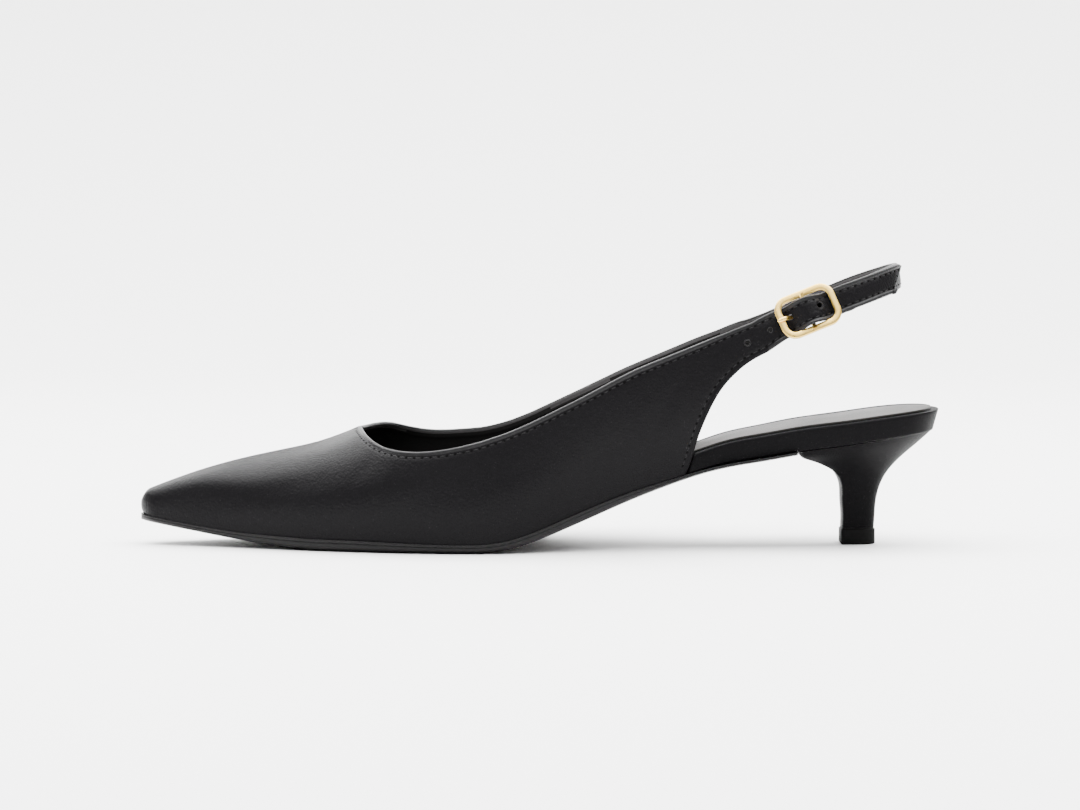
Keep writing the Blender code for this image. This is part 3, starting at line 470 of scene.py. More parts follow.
# %% The way and its frame
class Route:
    """The straps' way round the heel: the inner face's middle line, with its frame at each place."""

    def __init__(self):
        ends = []
        self.leans = []
        for side in (1, -1):
            top, bottom = [last_point(*end, side) for end in strap_root(side)]
            middle = (top + bottom) / 2
            self.leans.append(math.atan2(abs(bottom[1]) - abs(top[1]), ROOT_WIDTH))
            ends.append(middle - np.array([0, side * WALL, 0]))
        inner, outer = ends
        centre = (inner[1] + outer[1]) / 2
        half = (inner[1] - outer[1]) / 2
        points = [inner]
        for back, across, up in ROUTE:
            height = inner[2] + up * LOOP_RISE
            points.append((inner[0] + back * LOOP_DEPTH, centre + across * half, height))
        points.append(outer)
        points = np.array(points)
        along = lengths_along(points)
        coarse = [natural_spline(along, points[:, i]) for i in range(3)]
        fine = np.linspace(0, along[-1], WAY_SAMPLES)
        dense = np.stack([curve(fine) for curve in coarse], -1)
        self.arc = lengths_along(dense)
        self.dense = dense
        self.length = float(self.arc[-1])
        self.bar = self.length - BAR_FROM_ROOT

    def middle(self, arc):
        return np.array([np.interp(arc, self.arc, self.dense[:, i]) for i in range(3)])

    def frame(self, arc):
        """(point, outwards, upwards) at an arc length from the inner root."""
        low, high = max(arc - FRAME_STEP, 0), min(arc + FRAME_STEP, self.length)
        along = self.middle(high) - self.middle(low)
        along /= np.linalg.norm(along)
        out = np.cross((0, 0, 1), along)
        out /= np.linalg.norm(out)
        up = np.cross(along, out)
        share = arc / self.length
        lean = self.leans[0] * (1 - share) + self.leans[1] * share
        lean = lean + BUCKLE_LEAN * float(lean_share(share))
        up, out = up * math.cos(lean) - out * math.sin(lean), out * math.cos(lean) + up * math.sin(lean)
        return self.middle(arc), out, up

    def place(self, behind, over, across):
        """The point a distance behind the buckle's bar, over the route and across the strap."""
        point, out, up = self.frame(self.bar - behind)
        return point + out * over + up * across


route = Route()
print("strap length", round(route.length, 4))

# %% [markdown]
# ## Skins with a wall and rolled edges
#
# Leather goods are sheets. A sheet could get its thickness from a modifier, but then its edges are
# square and catch no light. Here the wall is made from the outer surface and its normals, and each free
# edge gets a half round, as an edge that has been folded or burnished has.

# %% Objects, normals and free edges
ROLL_STEPS = 6
# Slots of the skin: the pit's near-black is painted shade in holes, the rim's lighter colour is a painted
# highlight along the edges, and the inner rim's is painted light inside the topline.
CALF, LINING, PIT_SHADE, RIM_PAINTED_HIGHLIGHT, INNER_RIM_PAINTED_LIGHT = range(5)


def linked(name, data):
    """An object in the scene for a mesh, a light or a camera."""
    made = bpy.data.objects.new(name, data)
    bpy.context.scene.collection.objects.link(made)
    return made


def new_object(name, verts, faces, looks, marks=None):
    """A smooth object from points and faces, with its materials."""
    mesh = bpy.data.meshes.new(name)
    mesh.from_pydata([tuple(map(float, v)) for v in verts], [], [tuple(map(int, f)) for f in faces])
    for look in looks:
        mesh.materials.append(look)
    if marks is not None:
        mesh.polygons.foreach_set("material_index", np.asarray(marks, np.int32))
    mesh.shade_smooth()
    mesh.update()
    return linked(name, mesh)


def from_bmesh(name, bm):
    """An object from a bmesh, which is then freed."""
    mesh = bpy.data.meshes.new(name)
    bm.to_mesh(mesh)
    bm.free()
    return linked(name, mesh)


def full_turn(count):
    """Even angles round a circle."""
    return np.linspace(0, 2 * math.pi, count, endpoint=False)


def vertex_normals(points, quads):
    """Normals of a surface of quads, weighted by the faces' areas."""
    a, b, c, d = (points[quads[:, i]] for i in range(4))
    face = np.cross(c - a, d - b)
    normals = np.zeros_like(points)
    for i in range(4):
        np.add.at(normals, quads[:, i], face)
    return normals / np.maximum(np.linalg.norm(normals, axis=1), TINY)[:, None]


def free_edges(quads):
    """Directed edges that only one face has."""
    edges = np.concatenate([quads[:, [i, (i + 1) % 4]] for i in range(4)])
    known = {(int(a), int(b)) for a, b in edges}
    return [(a, b) for a, b in sorted(known) if (b, a) not in known]


print("a full turn in quarters", full_turn(4).round(2))

# %% Skins and lofted solids
RIM_BAND = 0.0011
LINING_LINE = 0.0013


def rolled_shell(name, points, quads, thick, looks, inner_sink, near):
    """A solid from an outer surface: its wall goes inwards, and each free edge is a half round."""
    normals = vertex_normals(points, quads)
    inner = points - normals * (thick - inner_sink)[:, None]
    rim = free_edges(quads)
    outward = np.zeros_like(points)
    for a, b in rim:
        along = points[b] - points[a]
        across = np.cross(along, normals[a] + normals[b])
        across /= max(np.linalg.norm(across), TINY)
        outward[a] += across
        outward[b] += across
    outward /= np.maximum(np.linalg.norm(outward, axis=1), TINY)[:, None]
    count = len(points)
    verts = [*points, *inner]
    rings = {}
    for vertex in sorted({v for edge in rim for v in edge}):
        middle = points[vertex] - normals[vertex] * thick[vertex] / 2
        ring = [vertex]
        for step in range(1, ROLL_STEPS):
            angle = math.pi * step / ROLL_STEPS
            reach = math.cos(angle) * normals[vertex] + math.sin(angle) * outward[vertex]
            ring.append(len(verts))
            verts.append(middle + reach * thick[vertex] / 2)
        rings[vertex] = ring + [vertex + count]
    faces = [tuple(quad) for quad in quads]
    # Faces near an edge take the rim look, whose lighter colour paints the edge's highlight; inner faces
    # near the topline take a far lighter look that paints light on the lining's top band.
    close = near[quads].mean(1)
    marks = [RIM_PAINTED_HIGHLIGHT if gap < RIM_BAND else CALF for gap in close]
    faces += [tuple(int(v) + count for v in quad[::-1]) for quad in quads]
    marks += [INNER_RIM_PAINTED_LIGHT if gap < LINING_LINE else LINING for gap in close]
    for a, b in rim:
        for i in range(ROLL_STEPS):
            faces.append((rings[b][i], rings[a][i], rings[a][i + 1], rings[b][i + 1]))
            marks.append(RIM_PAINTED_HIGHLIGHT if near[a] + near[b] < 2 * RIM_BAND else CALF)
    return new_object(name, verts, faces, looks, marks)


def loft_rings(name, rings, looks, closed=False, crease=60):
    """A closed solid through rings of as many points each."""
    count = len(rings[0])
    verts = [point for ring in rings for point in ring]
    faces = []
    steps = len(rings) if closed else len(rings) - 1
    for k in range(steps):
        low, high = k * count, ((k + 1) % len(rings)) * count
        for i in range(count):
            j = (i + 1) % count
            faces.append((low + i, low + j, high + j, high + i))
    if not closed:
        faces.append(tuple(range(count)))
        faces.append(tuple(range(len(verts) - count, len(verts))))
    made = new_object(name, verts, faces, looks)
    bm = bmesh.new()
    bm.from_mesh(made.data)
    bmesh.ops.recalc_face_normals(bm, faces=bm.faces)
    bm.to_mesh(made.data)
    bm.free()
    made.data.set_sharp_from_angle(angle=math.radians(crease))
    return made


def finish_piece(made, slot, *nodes):
    """Fixes a piece to the shoe and hides the plain solids that it stands for; its slot is not used."""
    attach(made, "root")
    if nodes:
        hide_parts(*nodes)
    print(made.name, len(made.data.polygons), "faces")
    return made


print("faces round a rolled edge", ROLL_STEPS)

# %% [markdown]
# ## Materials
#
# Calf leather is black but not flat: it has a fine pebbled grain, pores and a soft broad sheen, and its
# edges are a little smoother. A band along each edge is painted a little lighter, a painted highlight,
# and the inside just below the topline much lighter, painted light. Bump from small cells gives the grain
# without any more faces. Gold, rubber, sole leather and the satin sock each get their own grain and gloss.

# %% Material helpers
class Look:
    """A material being built: each method adds a node and returns the socket to go on from."""

    def __init__(self, name, colour, roughness, metallic=0.0, specular=0.5):
        self.material = bpy.data.materials.new(name)
        self.material.use_nodes = True
        self.material.diffuse_color = (*colour, 1)
        self.nodes, self.links = self.material.node_tree.nodes, self.material.node_tree.links
        self.shader = self.nodes["Principled BSDF"].inputs
        self.shader["Base Color"].default_value = (*colour, 1)
        self.shader["Roughness"].default_value = roughness
        self.shader["Metallic"].default_value = metallic
        self.shader["Specular IOR Level"].default_value = specular
        self.place = self.nodes.new("ShaderNodeTexCoord").outputs["Object"]

    def feed(self, socket, value):
        self.links.new(value, self.shader[socket])

    def noise(self, scale, detail=3.0, roughness=0.5):
        made = self.nodes.new("ShaderNodeTexNoise")
        made.inputs["Scale"].default_value = scale
        made.inputs["Detail"].default_value = detail
        made.inputs["Roughness"].default_value = roughness
        self.links.new(self.place, made.inputs["Vector"])
        return made.outputs["Fac"]

    def cells(self, scale):
        made = self.nodes.new("ShaderNodeTexVoronoi")
        made.feature = "SMOOTH_F1"
        made.inputs["Scale"].default_value = scale
        made.inputs["Smoothness"].default_value = 0.6
        made.inputs["Randomness"].default_value = 1.0
        self.links.new(self.place, made.inputs["Vector"])
        return made.outputs["Distance"]

    def remap(self, value, low, high, to_low, to_high):
        made = self.nodes.new("ShaderNodeMapRange")
        limits = zip(("From Min", "From Max", "To Min", "To Max"), (low, high, to_low, to_high))
        for socket, amount in limits:
            made.inputs[socket].default_value = amount
        self.links.new(value, made.inputs["Value"])
        return made.outputs["Result"]

    def bump(self, height, distance, strength, base=None):
        made = self.nodes.new("ShaderNodeBump")
        made.inputs["Distance"].default_value = distance
        made.inputs["Strength"].default_value = strength
        self.links.new(height, made.inputs["Height"])
        if base is not None:
            self.links.new(base, made.inputs["Normal"])
        return made.outputs["Normal"]

    def mix(self, factor, first, second):
        made = self.nodes.new("ShaderNodeMix")
        made.data_type = "RGBA"
        made.inputs["A"].default_value = (*first, 1)
        made.inputs["B"].default_value = (*second, 1)
        self.links.new(factor, made.inputs["Factor"])
        return made.outputs["Result"]


print("material helpers ready")

# %% Leathers
PORES_PER_GRAIN = 2.6
SHEEN_SCALE = 46.0
SHEEN_DEPTH = 0.00008
LEATHERS = (
    # name, colour, lighter colour, roughness, grain, grain depth, specular level
    ("calf_leather", (0.0030, 0.0028, 0.0032), (0.0050, 0.0047, 0.0052), 0.38, 1500.0, 0.00024, 0.045),
    # The rim's lighter colour is a painted highlight along the leather's edges; its higher gloss is its
    # own.
    ("rim_leather_painted_highlight", (0.0046, 0.0044, 0.0048), (0.0075, 0.0071, 0.0077), 0.36, 1500.0, 0.00016, 0.14),
    # Much lighter than the lining: painted light on the inside band just below the topline, which lies in
    # shade.
    ("inner_rim_painted_light", (0.026, 0.0245, 0.025), (0.036, 0.034, 0.035), 0.40, 1800.0, 0.00014, 0.3),
    ("lining_leather", (0.0046, 0.0043, 0.0043), (0.0068, 0.0064, 0.0063), 0.60, 3000.0, 0.00010, 0.10),
    ("cover_leather", (0.0028, 0.0027, 0.0030), (0.0045, 0.0043, 0.0047), 0.50, 2200.0, 0.00014, 0.02),
    ("sock_leather_skin", (0.022, 0.020, 0.019), (0.030, 0.0275, 0.026), 0.48, 2100.0, 0.00012, 0.10),
    ("piping_leather", (0.008, 0.0074, 0.0072), (0.012, 0.011, 0.0105), 0.45, 2600.0, 0.00010, 0.12),
    ("edge_dye", (0.0088, 0.0085, 0.0088), (0.0140, 0.0135, 0.0138), 0.40, 1500.0, 0.00012, 0.10),
    ("sole_leather_skin", (0.010, 0.0095, 0.0092), (0.017, 0.016, 0.0155), 0.58, 1300.0, 0.00018, 0.2),
    ("waxed_thread", (0.0050, 0.0048, 0.0052), (0.0080, 0.0077, 0.0081), 0.45, 5200.0, 0.00008, 0.12),
)


def leather(name, colour, lighter, roughness, grain, grain_depth, specular):
    """Grained leather: cells for the pebbles, fine noise for pores, slow noise for the sheen."""
    look = Look(name, colour, roughness, specular=specular)
    pebbles = look.cells(grain)
    pores = look.noise(grain * PORES_PER_GRAIN, 4.0, 0.65)
    slow = look.noise(SHEEN_SCALE)
    first = look.bump(pebbles, grain_depth, 0.55)
    second = look.bump(pores, grain_depth * 0.5, 0.5, first)
    look.feed("Normal", look.bump(slow, SHEEN_DEPTH, 0.5, second))
    look.feed("Roughness", look.remap(slow, 0.3, 0.7, roughness - 0.05, roughness + 0.06))
    shade = look.remap(pores, 0.35, 0.75, 0.0, 1.0)
    look.feed("Base Color", look.mix(shade, colour, lighter))
    return look.material


leathers = {row[0]: leather(*row) for row in LEATHERS}
print("leathers", len(leathers))

# %% Rubber, gold and the painted shade of a needle hole
def rubber_look():
    """Matt black rubber with a fine rough skin."""
    look = Look("tip_rubber", (0.0036, 0.0035, 0.0035), 0.62, specular=0.06)
    rough = look.noise(2600.0, 5.0, 0.6)
    look.feed("Normal", look.bump(rough, 0.0001, 0.45))
    look.feed("Roughness", look.remap(rough, 0.3, 0.7, 0.55, 0.72))
    return look.material


def gold_look():
    """Polished pale gold with a faint brushed haze."""
    look = Look("gold_polish", (0.74, 0.50, 0.13), 0.28, metallic=1.0)
    haze = look.noise(900.0, 4.0, 0.6)
    look.feed("Roughness", look.remap(haze, 0.3, 0.7, 0.26, 0.40))
    look.feed("Normal", look.bump(haze, 0.00005, 0.25))
    tone = look.remap(look.noise(160.0, 2.0), 0.3, 0.7, 0.0, 1.0)
    look.feed("Base Color", look.mix(tone, (0.80, 0.55, 0.16), (0.70, 0.46, 0.10)))
    return look.material


def pit_shade_look():
    """Painted shade: a near-black matt material for the dark inside a hole."""
    look = Look("needle_hole_shade", (0.0012, 0.0012, 0.0012), 0.95, specular=0.05)
    look.feed("Roughness", look.remap(look.noise(5000.0), 0.3, 0.7, 0.85, 1.0))
    return look.material


rubber = rubber_look()
gold = gold_look()
pit_shade = pit_shade_look()
print("materials", len(bpy.data.materials))

# %% [markdown]
# ## Upper and straps in one skin
#
# On each side the quarter and its strap are cut in one. The skin could be modelled by hand over the
# last. Here it is ruled between the sole's edge and the topline, and goes on along the strap's way, so
# that the leather follows the last exactly. Its free edges are drawn in by half the leather, and the
# half round puts them back on the topline.

# %% Edges moved in over the last
EDGE_SAMPLES = 160


def inset_curve(xs, ups, side, inset):
    """A curve on the last, moved sideways over the surface by a distance, away from the opening."""
    xs, ups = np.asarray(xs, float), np.asarray(ups, float)
    here = last_point(xs, ups, side)
    tangent = np.gradient(here, axis=0)
    step_x, step_up = 1e-5, 1e-3
    by_x = (last_point(xs + step_x, ups, side) - last_point(xs - step_x, ups, side)) / (2 * step_x)
    by_up = (last_point(xs, ups, side) - last_point(xs, ups - step_up, side)) / step_up
    low = ups < step_up
    by_up[low] = ((last_point(xs, ups + step_up, side) - last_point(xs, ups, side)) / step_up)[low]
    normal = np.cross(by_x, by_up)
    move = np.cross(normal, tangent)
    move *= inset / np.linalg.norm(move, axis=1)[:, None]
    new_xs, new_ups = np.empty_like(xs), np.empty_like(ups)
    for i in range(len(xs)):
        jacobian = np.stack([by_x[i], by_up[i]], 1)
        shift = np.linalg.lstsq(jacobian, move[i], rcond=None)[0]
        new_xs[i], new_ups[i] = xs[i] + shift[0], ups[i] + shift[1]
    return new_xs, new_ups


def edge_samples(side, inset, count=EDGE_SAMPLES):
    """The topline and the rear edge, each up to the root, both moved in by a distance."""
    root_top, root_bottom = strap_root(side)
    _, top_x, top_up = edge_curve(TOPLINES[side], root_top)
    _, rear_x, rear_up = edge_curve(REAR_EDGE, root_bottom)
    share = np.linspace(0, 1, count)
    top = inset_curve(top_x(share), top_up(share), side, -inset)
    rear = inset_curve(rear_x(share), rear_up(share), side, inset)
    return share, top, rear


print("samples on an edge", len(edge_samples(-1, WALL / 2)[0]))

# %% Rows across the skin
EDGE_ROWS = 11
EDGE_STEP = 0.00042
EDGE_LIMIT = 0.42
MIDDLE_ROWS = 15


def row_shares(length):
    """Shares across a skin: close together at both edges, even between."""
    close = min(EDGE_STEP, EDGE_LIMIT * length / EDGE_ROWS)
    edge = np.arange(EDGE_ROWS) * close / length
    middle = np.linspace(edge[-1], 1 - edge[-1], MIDDLE_ROWS + 2)[1:-1]
    return np.concatenate([edge, middle, 1 - edge[::-1]])


print("rows across the skin", len(row_shares(STRAP_WIDTH)))

# %% Ruled lines from the sole to the topline
FINE = 3
FAN_BEFORE = 0.083 * LENGTH
FAN_FOOT = 0.068 * LENGTH
TOE_SHARES = (0, 0.006, 0.018, 0.038, 0.068, 0.11, 0.17, 0.24, 0.33, 0.43, 0.54, 0.66, 0.78, 0.90)
BALL_ROW = 6
WAIST_ROW = 11
FAN_LINES = 6 * FINE
THROAT_LINES = 14 * FINE
WAIST_LINES = 9 * FINE
CORNER_LINES = 6 * FINE
REAR_LINES = 12 * FINE


def even_shares(count):
    """Even shares of a stretch, without its start."""
    return np.linspace(0, 1, count + 1)[1:]


def fine_stations(side):
    """Ends of one side's ruled lines, sole and topline, and how many of them meet along the ridge."""
    share, top, rear = edge_samples(side, WALL / 2)
    along = edge_curve(TOPLINES[side], strap_root(side)[0])[0]
    ball, waist = float(along[BALL_ROW]), float(along[WAIST_ROW])

    def on_top(place):
        return float(np.interp(place, share, top[0])), float(np.interp(place, share, top[1]))

    throat = float(top[0][0])
    fan = throat - FAN_BEFORE
    coarse = np.array(TOE_SHARES)
    index = np.linspace(0, len(coarse) - 1, FINE * (len(coarse) - 1) + 1)
    pairs = [((s * fan, 0.0), (s * fan, 1.0)) for s in np.interp(index, range(len(coarse)), coarse)]
    for s in even_shares(FAN_LINES):
        pairs.append(((fan + s * FAN_FOOT, 0.0), (fan + s * (throat - fan), 1.0)))
    joined = len(pairs)
    foot = fan + FAN_FOOT
    reach = on_top(ball)[0] - foot
    for s in even_shares(THROAT_LINES):
        pairs.append(((foot + reach * s, 0.0), on_top(s * ball)))
    start, end = on_top(ball)[0], on_top(waist)[0]
    for s in even_shares(WAIST_LINES):
        pairs.append(((start + s * (end - start), 0.0), on_top(ball + s * (waist - ball))))
    corner = float(rear[0][0])
    lows = [(end + s * (corner - end), 0.0) for s in even_shares(CORNER_LINES)]
    for s in even_shares(REAR_LINES):
        lows.append((float(np.interp(s, share, rear[0])), float(np.interp(s, share, rear[1]))))
    for low, s in zip(lows, even_shares(len(lows))):
        pairs.append((low, on_top(waist + s * (1 - waist))))
    return pairs, joined


print("ruled lines on the outer side", len(fine_stations(-1)[0]))

# %% The toe's nose and a quarter's grid
NOSE_HEIGHT = 0.42
NOSE_TOP = 0.0036
NOSE_TUCK = 0.0007
NOSE_START = 0.12


def round_nose(points, ups):
    """Rounds the toe's front, which the last leaves upright, and draws it in a little above the sole."""
    xs = points[..., 0] + HEEL_CENTRE
    share = np.clip(NOSE_START + xs / NOSE_TOP, 0, 1)
    middle = points[:, :1, 2] + NOSE_HEIGHT * (points[:, -1:, 2] - points[:, :1, 2])
    above = np.maximum(points[..., 2] - middle, 0)
    below = np.maximum(1 - ups / NOSE_HEIGHT, 0)
    rounded = points.copy()
    rounded[..., 2] -= above * (1 - np.sqrt(1 - (1 - share) ** 2))
    rounded[..., 0] += NOSE_TUCK * below**2 * np.exp(-xs / NOSE_TOP)
    return rounded


def quarter_grid(side):
    """Points of a quarter: a ruled line for each station, and rows up it."""
    pairs, joined = fine_stations(side)
    grid, heights = [], []
    for start, end in pairs:
        span = float(np.linalg.norm(last_point(*end, side) - last_point(*start, side)))
        share = row_shares(span)
        xs = start[0] + share * (end[0] - start[0])
        ups = start[1] + share * (end[1] - start[1])
        grid.append(last_point(xs, ups, side))
        heights.append(ups)
    return round_nose(np.array(grid), np.array(heights)), joined


print("quarter", quarter_grid(-1)[0].shape)

# %% Where the straps lie near the buckle
# The middle of the sling strap near the buckle: distance behind the bar as a share of BUCKLE_LENGTH,
# and height over the route as a share of BAR_LIFT
SLING_RISE = (
    # behind, over
    (0.800, 0.300),
    (0.600, 0.290),
    (0.425, 0.200),
    (0.300, 0.330),
    (0.200, 0.740),
    (0.110, 1.280),
)

SLING_FOLD = (
    # behind, over
    (0.110, 0.330),
    (0.200, 0.060),
    (0.300, -0.190),
    (0.425, -0.250),
)

# The middle of the outer strap over the buckle, from its root to the tail
TAIL_RISE = (
    # behind, over
    (-0.560, 0.290),
    (-0.425, 0.330),
    (-0.300, 0.700),
    (-0.200, 1.170),
    (-0.100, 1.720),
    (0.000, 1.960),
    (0.100, 1.800),
    (0.200, 1.300),
    (0.300, 0.860),
    (0.410, 0.660),
    (0.520, 0.670),
    (0.680, 0.860),
    (0.900, 0.940),
)

# The outer strap's width behind the bar, as shares of BUCKLE_LENGTH and STRAP_WIDTH
STRAP_TAPER = (
    # behind, width
    (-0.880, 1.296),
    (-0.560, 1.185),
    (-0.300, 1.090),
    (0.000, 1.030),
    (0.500, 0.990),
    (1.840, 0.950),
)

ROOT_FLARE = 0.014
(taper_share,) = columns(STRAP_TAPER)


def outer_width(behind):
    """The outer strap's width at a distance behind the bar."""
    return STRAP_WIDTH * taper_share(behind / BUCKLE_LENGTH)


def sling_width(behind):
    """The sling strap flares towards its root."""
    near = np.clip(1 - (route.bar - behind) / ROOT_FLARE, 0, 1)
    return STRAP_WIDTH + (ROOT_WIDTH - STRAP_WIDTH) * near**2


print("width of the outer strap at its root", round(float(outer_width(-BAR_FROM_ROOT)), 4))

# %% Rings across a strap
LINE_STEP = 0.0005


def strap_rings(centres, thick, widths, outwards, slant, sag):
    """The outer face of a strap, in rows from its lower to its upper edge, drawn in by the half rounds."""
    tangent = np.gradient(centres, axis=0)
    tangent /= np.linalg.norm(tangent, axis=1)[:, None]
    normal = outwards * np.column_stack([-tangent[:, 1], tangent[:, 0]])
    rings = []
    for i, (centre, across_to, wide) in enumerate(zip(centres, normal, thick)):
        half = (widths[i] - wide) / 2
        ring = []
        for share in row_shares(2 * half):
            across = (2 * share - 1) * half
            behind, over = centre + across_to * wide / 2
            ring.append(route.place(behind + slant[i] * across / half, over, across + sag[i]))
        rings.append(ring)
    return np.array(rings)


def sampled(table, step):
    """Points of a smooth curve through a table of shares behind the bar and over the route."""
    rows = np.array(table) * (BUCKLE_LENGTH, BAR_LIFT)
    curve = natural_spline(rows[:, 0], rows[:, 1])
    count = max(2, round((rows[-1, 0] - rows[0, 0]) / step))
    places = np.linspace(rows[0, 0], rows[-1, 0], count)
    return [(place, float(curve(place))) for place in places]


print("points in the sling's fold", len(sampled(SLING_FOLD, LINE_STEP)))

# %% The outer strap, from its root to the tail
TAIL_REACH = 0.0355
TAIL_ROUND = 0.0006
TAIL_SLANT = 0.0024
TAIL_STEEPER = 1.9
TAIL_TIP = 0.006
TAIL_LIFT = 0.0005
TAIL_POINTS = 42
WINDOW_SAG = -0.0008
WINDOW_WIDER = 0.0005
WINDOW_HALF = 0.36 * BUCKLE_LENGTH
SKIVING = (
    # behind, thick
    (-BAR_FROM_ROOT, WALL),
    (-0.4 * BUCKLE_LENGTH, 1.2 * SKIVED),
    (0.0, SKIVED),
    (0.4 * BUCKLE_LENGTH, SKIVED),
    (0.8 * BUCKLE_LENGTH, 1.3 * SKIVED),
    (TAIL_REACH, 1.3 * SKIVED),
)


def outer_strap_line():
    """Centres (behind, over), thickness, width, end slant and sag of the outer strap, root to tail."""
    rows = [(-BAR_FROM_ROOT / BUCKLE_LENGTH, WALL / 2 / BAR_LIFT)] + list(TAIL_RISE)
    curve = natural_spline([r[0] * BUCKLE_LENGTH for r in rows], [r[1] * BAR_LIFT for r in rows])
    last_behind = rows[-1][0] * BUCKLE_LENGTH
    last_over = rows[-1][1] * BAR_LIFT
    end = TAIL_REACH - TAIL_ROUND
    over_buckle = np.arange(-BAR_FROM_ROOT, last_behind, LINE_STEP)
    places = np.concatenate([over_buckle, np.linspace(last_behind, end, TAIL_POINTS)])
    lift = TAIL_LIFT * ((places - last_behind) / (TAIL_REACH - last_behind)) ** 2
    overs = np.where(places <= last_behind, curve(places), last_over + lift)
    (skive,) = columns(SKIVING)
    to_tip = np.clip((places - (end - TAIL_TIP)) / TAIL_TIP, 0, 1)
    slant = TAIL_STEEPER * TAIL_SLANT * to_tip**1.5
    window = np.exp(-((places / WINDOW_HALF) ** 4))
    widths = outer_width(places) + WINDOW_WIDER * window
    return np.column_stack([places, overs]), skive(places), widths, slant, WINDOW_SAG * window


print("places along the outer strap", len(outer_strap_line()[1]))

# %% The sling strap, from the inner root round the heel and over the bar
FOLD_LENGTH = 0.0115
BEFORE_RISE = 0.004
SLING_ROWS = 190
WRAP_ROWS = 30
WRAP_ANGLES = math.radians(62), math.radians(298)
RAMP_ROWS = 12


def inner_strap_line():
    """Centres, thickness, width, end slant and sag of the sling strap, with its fold round the bar."""
    start, flat = route.bar, SLING_RISE[0][0] * BUCKLE_LENGTH
    round_heel = np.linspace(start, flat + BEFORE_RISE, SLING_ROWS)
    plain = [(behind, STRAP_THICKNESS / 2) for behind in round_heel]
    rise = sampled(SLING_RISE[::-1], LINE_STEP)[::-1]
    turn = BAR_RADIUS + WRAP_GAP + SKIVED / 2
    wrap = []
    for angle in np.linspace(*WRAP_ANGLES, WRAP_ROWS):
        wrap.append((turn * math.cos(angle), BAR_LIFT + turn * math.sin(angle)))
    fold = sampled(SLING_FOLD, LINE_STEP) + [(FOLD_LENGTH, -WRAP_GAP - SKIVED / 2)]
    centres = np.array(plain + rise + wrap + fold)
    thick = np.full(len(centres), SKIVED)
    thick[: len(plain)] = STRAP_THICKNESS
    ramp = np.linspace(0, 1, RAMP_ROWS)
    thinned = STRAP_THICKNESS + (SKIVED - STRAP_THICKNESS) * ramp**2 * (3 - 2 * ramp)
    thick[len(plain) : len(plain) + RAMP_ROWS] = thinned
    still = np.zeros(len(centres))
    return centres, thick, sling_width(centres[:, 0]), still, still


print("places along the sling strap", len(inner_strap_line()[1]))

# %% Quarter and strap in one grid
MELT = 0.010
JOIN_GAP = 0.0006
FAR = 1.0
DISTANCE_SAMPLES = 300
CHUNK = 50


def skin_of_side(side):
    """Outer face of a quarter with its strap, its walls, and how far strap points are from an edge."""
    grid, joined = quarter_grid(side)
    centres, thick, widths, slant, sag = outer_strap_line() if side < 0 else inner_strap_line()
    rings = strap_rings(centres, thick, widths, -side, slant, sag)
    reach = lengths_along(rings[:, rings.shape[1] // 2])
    share = np.clip(1 - reach / MELT, 0, 1)
    melt = (share**2 * (3 - 2 * share))[:, None, None]
    rings = rings + melt * (grid[-1] - rings[0])
    keep = reach > JOIN_GAP
    whole = np.concatenate([grid, rings[keep]])
    walls = np.concatenate([np.full(len(grid), WALL), thick[keep]])
    across = np.full(whole.shape[:2], FAR)
    for i, (wide, wall) in enumerate(zip(widths[keep], thick[keep])):
        half = (wide - wall) / 2
        across[len(grid) + i] = half - np.abs(2 * row_shares(2 * half) - 1) * half + wall / 2
    if side < 0:
        to_end = reach[-1] - reach[keep] + WALL / 2
        across[len(grid) :] = np.minimum(across[len(grid) :], to_end[:, None])
    return whole, walls, joined, across, len(grid)


def edge_distance(grid, side, stations_count, with_rear=True):
    """Each point's distance from the topline, and from the rear edge where that is wanted too."""
    _, top, rear = edge_samples(side, 0.0, DISTANCE_SAMPLES)
    line = last_point(*top, side)
    if with_rear:
        line = np.concatenate([line, last_point(*rear, side)])
    flat = grid[:stations_count].reshape(-1, 3)
    near = np.full(len(flat), FAR)
    for start in range(0, len(line), CHUNK):
        gaps = np.linalg.norm(flat[:, None] - line[None, start : start + CHUNK], axis=2)
        near = np.minimum(near, gaps.min(1))
    return near.reshape(grid[:stations_count].shape[:2])


print("the strap melts into the quarter over", MELT)

# %% Grooves along the edges and soft creases
ROW_INSET = 0.0019
STRAP_ROW_INSET = 0.0015
GROOVE_DEPTH = 0.00018
GROOVE_WIDTH = 0.00055
BEAD_DEPTH = 0.00026
BEAD_PLACE = 0.62
BEAD_SPREAD = 0.17
LINING_DEPTH = 0.00030
LINING_SPREAD = 0.0003

# Creases of the worn-in leather: side, place from the toe, height, slope in degrees, length, width,
# depth
CREASES = (
    (-1, 0.078, 0.030, 52, 0.010, 0.0022, 0.00030),
    (-1, 0.084, 0.027, 60, 0.009, 0.0018, -0.00018),
    (-1, 0.055, 0.0215, 14, 0.026, 0.0030, 0.00035),
    (-1, 0.098, 0.020, 35, 0.020, 0.0040, 0.00030),
    (-1, 0.118, 0.024, 22, 0.022, 0.0035, 0.00025),
    (-1, 0.150, 0.030, 38, 0.016, 0.0035, 0.00028),
    (-1, 0.172, 0.045, 62, 0.012, 0.0028, 0.00030),
    (-1, 0.190, 0.066, 70, 0.006, 0.0014, 0.00018),
    (-1, 0.196, 0.070, 66, 0.005, 0.0012, 0.00018),
    (1, 0.080, 0.031, 48, 0.010, 0.0022, 0.00030),
    (1, 0.102, 0.022, 30, 0.020, 0.0040, 0.00030),
    (1, 0.145, 0.030, 35, 0.018, 0.0035, 0.00028),
    (1, 0.176, 0.048, 60, 0.012, 0.0028, 0.00030),
)


